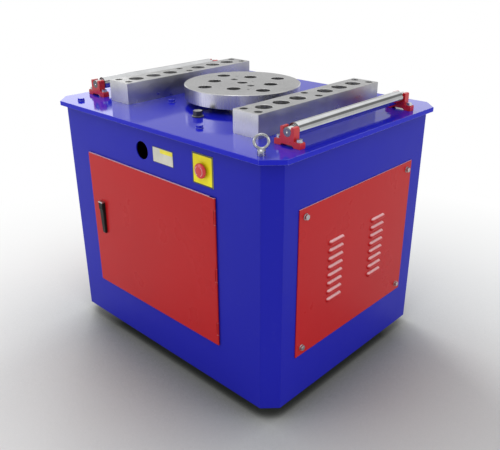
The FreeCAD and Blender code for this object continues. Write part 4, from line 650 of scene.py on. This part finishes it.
def build_label():
    """Bare cream plate with a dark edge and one plain yellow band."""
    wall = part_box("front_sheet")[0].y
    left, right, bottom, top = LABEL_BOX
    plate = (left + LABEL_MARGIN, right - LABEL_MARGIN, bottom + LABEL_MARGIN, top - LABEL_MARGIN)
    band = (left + LABEL_BAND_LEFT, right - LABEL_BAND_MARGIN, top - LABEL_BAND_BOTTOM,
            top - LABEL_BAND_MARGIN)
    for name, box, back, front, material in (
        ("label_edge", LABEL_BOX, 0.0, LABEL_EDGE_FRONT, "sign_border"),
        ("label_plate", plate, LABEL_EDGE_FRONT, LABEL_PLATE_FRONT, "label_cream"),
        ("label_band", band, LABEL_PLATE_FRONT, LABEL_BAND_FRONT, "label_yellow"),
    ):
        outline = rounded_rectangle(*box, LABEL_CORNER)
        bm = bmesh.new()
        skin(bm, [[(x, wall - depth, z) for x, z in outline] for depth in (back, front)])
        piece = mesh_object(name, bm, SIGN_MATERIALS[material])
        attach(piece, "machine_frame")


def build_arrows():
    """Two fine curved arrows on the face of the stop button."""
    low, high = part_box("estop_cap")
    centre = (low + high) / 2
    radius = (high.x - low.x) / 2
    middle = radius * ARROW_RADIUS
    half = radius * ARROW_HALF
    bm = bmesh.new()

    def vertex(reach, degrees):
        """A point of the button's face, at a distance and an angle from its middle."""
        turn = math.radians(degrees)
        return bm.verts.new((centre.x + reach * math.cos(turn), low.y + ARROW_SUNK,
                             centre.z + reach * math.sin(turn)))

    for start in ARROW_STARTS:
        shaft = []
        for step in range(ARROW_STEPS + 1):
            turn = start + ARROW_SWEEP * step / ARROW_STEPS
            shaft.append([vertex(reach, turn) for reach in (middle - half, middle + half)])
        for a, b in zip(shaft, shaft[1:]):
            bm.faces.new((a[0], a[1], b[1], b[0]))
        bm.faces.new([vertex(middle - ARROW_HEAD * half, start + ARROW_BASE),
                      vertex(middle + ARROW_HEAD * half, start + ARROW_BASE),
                      vertex(middle, start + ARROW_TIP)])
    arrows = mesh_object("stop_button_arrows", bm, SIGN_MATERIALS["print_pink"])
    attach(arrows, "stop_head")


# Camera and studio

def place_camera():
    """The camera of the photo, with its principal point as a small shift."""
    data = bpy.data.cameras.new("camera")
    data.sensor_width = SENSOR
    data.lens = FOCAL_PIXELS / PICTURE_WIDTH * SENSOR
    data.shift_x = -PRINCIPAL_RIGHT / PICTURE_WIDTH
    data.shift_y = PRINCIPAL_DOWN / PICTURE_WIDTH
    data.clip_end = CAMERA_REACH
    camera = bpy.data.objects.new("camera", data)
    scene.collection.objects.link(camera)
    turn = Matrix.Rotation(math.radians(CAMERA_YAW), 4, "Z")
    tilt = Matrix.Rotation(math.radians(90 + CAMERA_PITCH), 4, "X")
    roll = Matrix.Rotation(math.radians(CAMERA_ROLL), 4, "Z")
    camera.matrix_world = Matrix.Translation(CAMERA_PLACE) @ turn @ tilt @ roll
    scene.camera = camera


def floor_material():
    """Pale floor, darker where the object shades it, that fades to the white of the backdrop."""
    g = Finish("studio_floor")
    away = g.measured("DISTANCE", g.place, GLOW_CENTRE)
    pale = g.mottled(g.noise(g.place, scale=2.0), FLOOR_PALE, dark=1.0, light=1.03)
    # Painted shadow: the floor darkens towards FLOOR_SHADED where the object closes it in
    lit = g.spread(g.occlusion(SHADE_REACH, samples=12), start=0.35, end=0.95)
    g.feed(g.shader, {"Base Color": g.blended(lit, FLOOR_SHADED, pale),
                      "Roughness": FLOOR_ROUGHNESS, "Specular IOR Level": FLOOR_SPECULAR})
    glow = g.new("ShaderNodeEmission", {"Strength": 1.0}).outputs[0]
    path = g.new("ShaderNodeLightPath").outputs
    mirrored = g.calculated("MULTIPLY", path["Is Glossy Ray"], MIRRORED_GLOW)
    seen = g.calculated("MAXIMUM", path["Is Camera Ray"], mirrored)
    glowing = g.spread(away, start=GLOW_START, end=GLOW_END)
    far = g.calculated("MULTIPLY", glowing, seen)
    shown = g.mixed(far, g.shader.outputs[0], glow)
    g.feed(g.nodes["Material Output"], {"Surface": shown})
    return g.material


def build_floor():
    """The studio floor, as stage."""
    bm = bmesh.new()
    bmesh.ops.create_grid(bm, x_segments=1, y_segments=1, size=FLOOR_SIZE)
    floor = mesh_object("studio_floor", bm, floor_material())


def build_world():
    """White backdrop for the camera, a graded one in reflections, even light on the object."""
    world = bpy.data.worlds.new("studio")
    world.use_nodes = True
    world.cycles.sampling_method = "NONE"
    scene.world = world
    g = Graph(world.node_tree)
    g.nodes.clear()
    path = g.new("ShaderNodeLightPath").outputs
    direction = g.split(g.new("ShaderNodeTexCoord").outputs["Generated"])
    sides = []
    for greys in (BACKDROP_LEFT, BACKDROP_RIGHT):
        height = g.new("ShaderNodeValToRGB", {"Fac": direction["Z"]})
        stops = height.color_ramp.elements
        for place, _ in greys[1:-1]:
            stops.new(place)
        for stop, (place, grey) in zip(stops, greys):
            stop.position = place
            stop.color = (grey, grey, grey, 1)
        sides.append(height.outputs["Color"])
    graded = g.blended(g.spread(direction["X"], start=0.05, end=0.2), *sides)
    white, reflected, ambient = (
        g.new("ShaderNodeBackground", {"Color": colour, "Strength": strength}).outputs[0]
        for colour, strength in ((WHITE, 1.0), (graded, 1.0), (WHITE, AMBIENT))
    )
    glossy = g.calculated("MAXIMUM", path["Is Glossy Ray"], path["Is Transmission Ray"])
    unseen = g.mixed(glossy, ambient, reflected)
    shown = g.mixed(path["Is Camera Ray"], unseen, white)
    g.new("ShaderNodeOutputWorld", {"Surface": shown})


def build_lights():
    """Area lamps of a stated brightness, each facing its target."""
    for name, place, target, width, height, radiance, mirrored in LAMPS:
        data = bpy.data.lights.new(name, "AREA")
        data.shape = "RECTANGLE"
        data.size = width
        data.size_y = height
        data.energy = radiance * math.pi * width * height
        lamp = bpy.data.objects.new(name, data)
        scene.collection.objects.link(lamp)
        direction = Vector(target) - Vector(place)
        lamp.location = place
        lamp.rotation_euler = direction.to_track_quat("-Z", "Y").to_euler()
        lamp.visible_glossy = mirrored


build_brackets()
build_panel_screws()
build_handle()
build_sign_border()
build_label()
build_arrows()
place_camera()
build_floor()
build_world()
build_lights()

scene.view_settings.view_transform = "Standard"
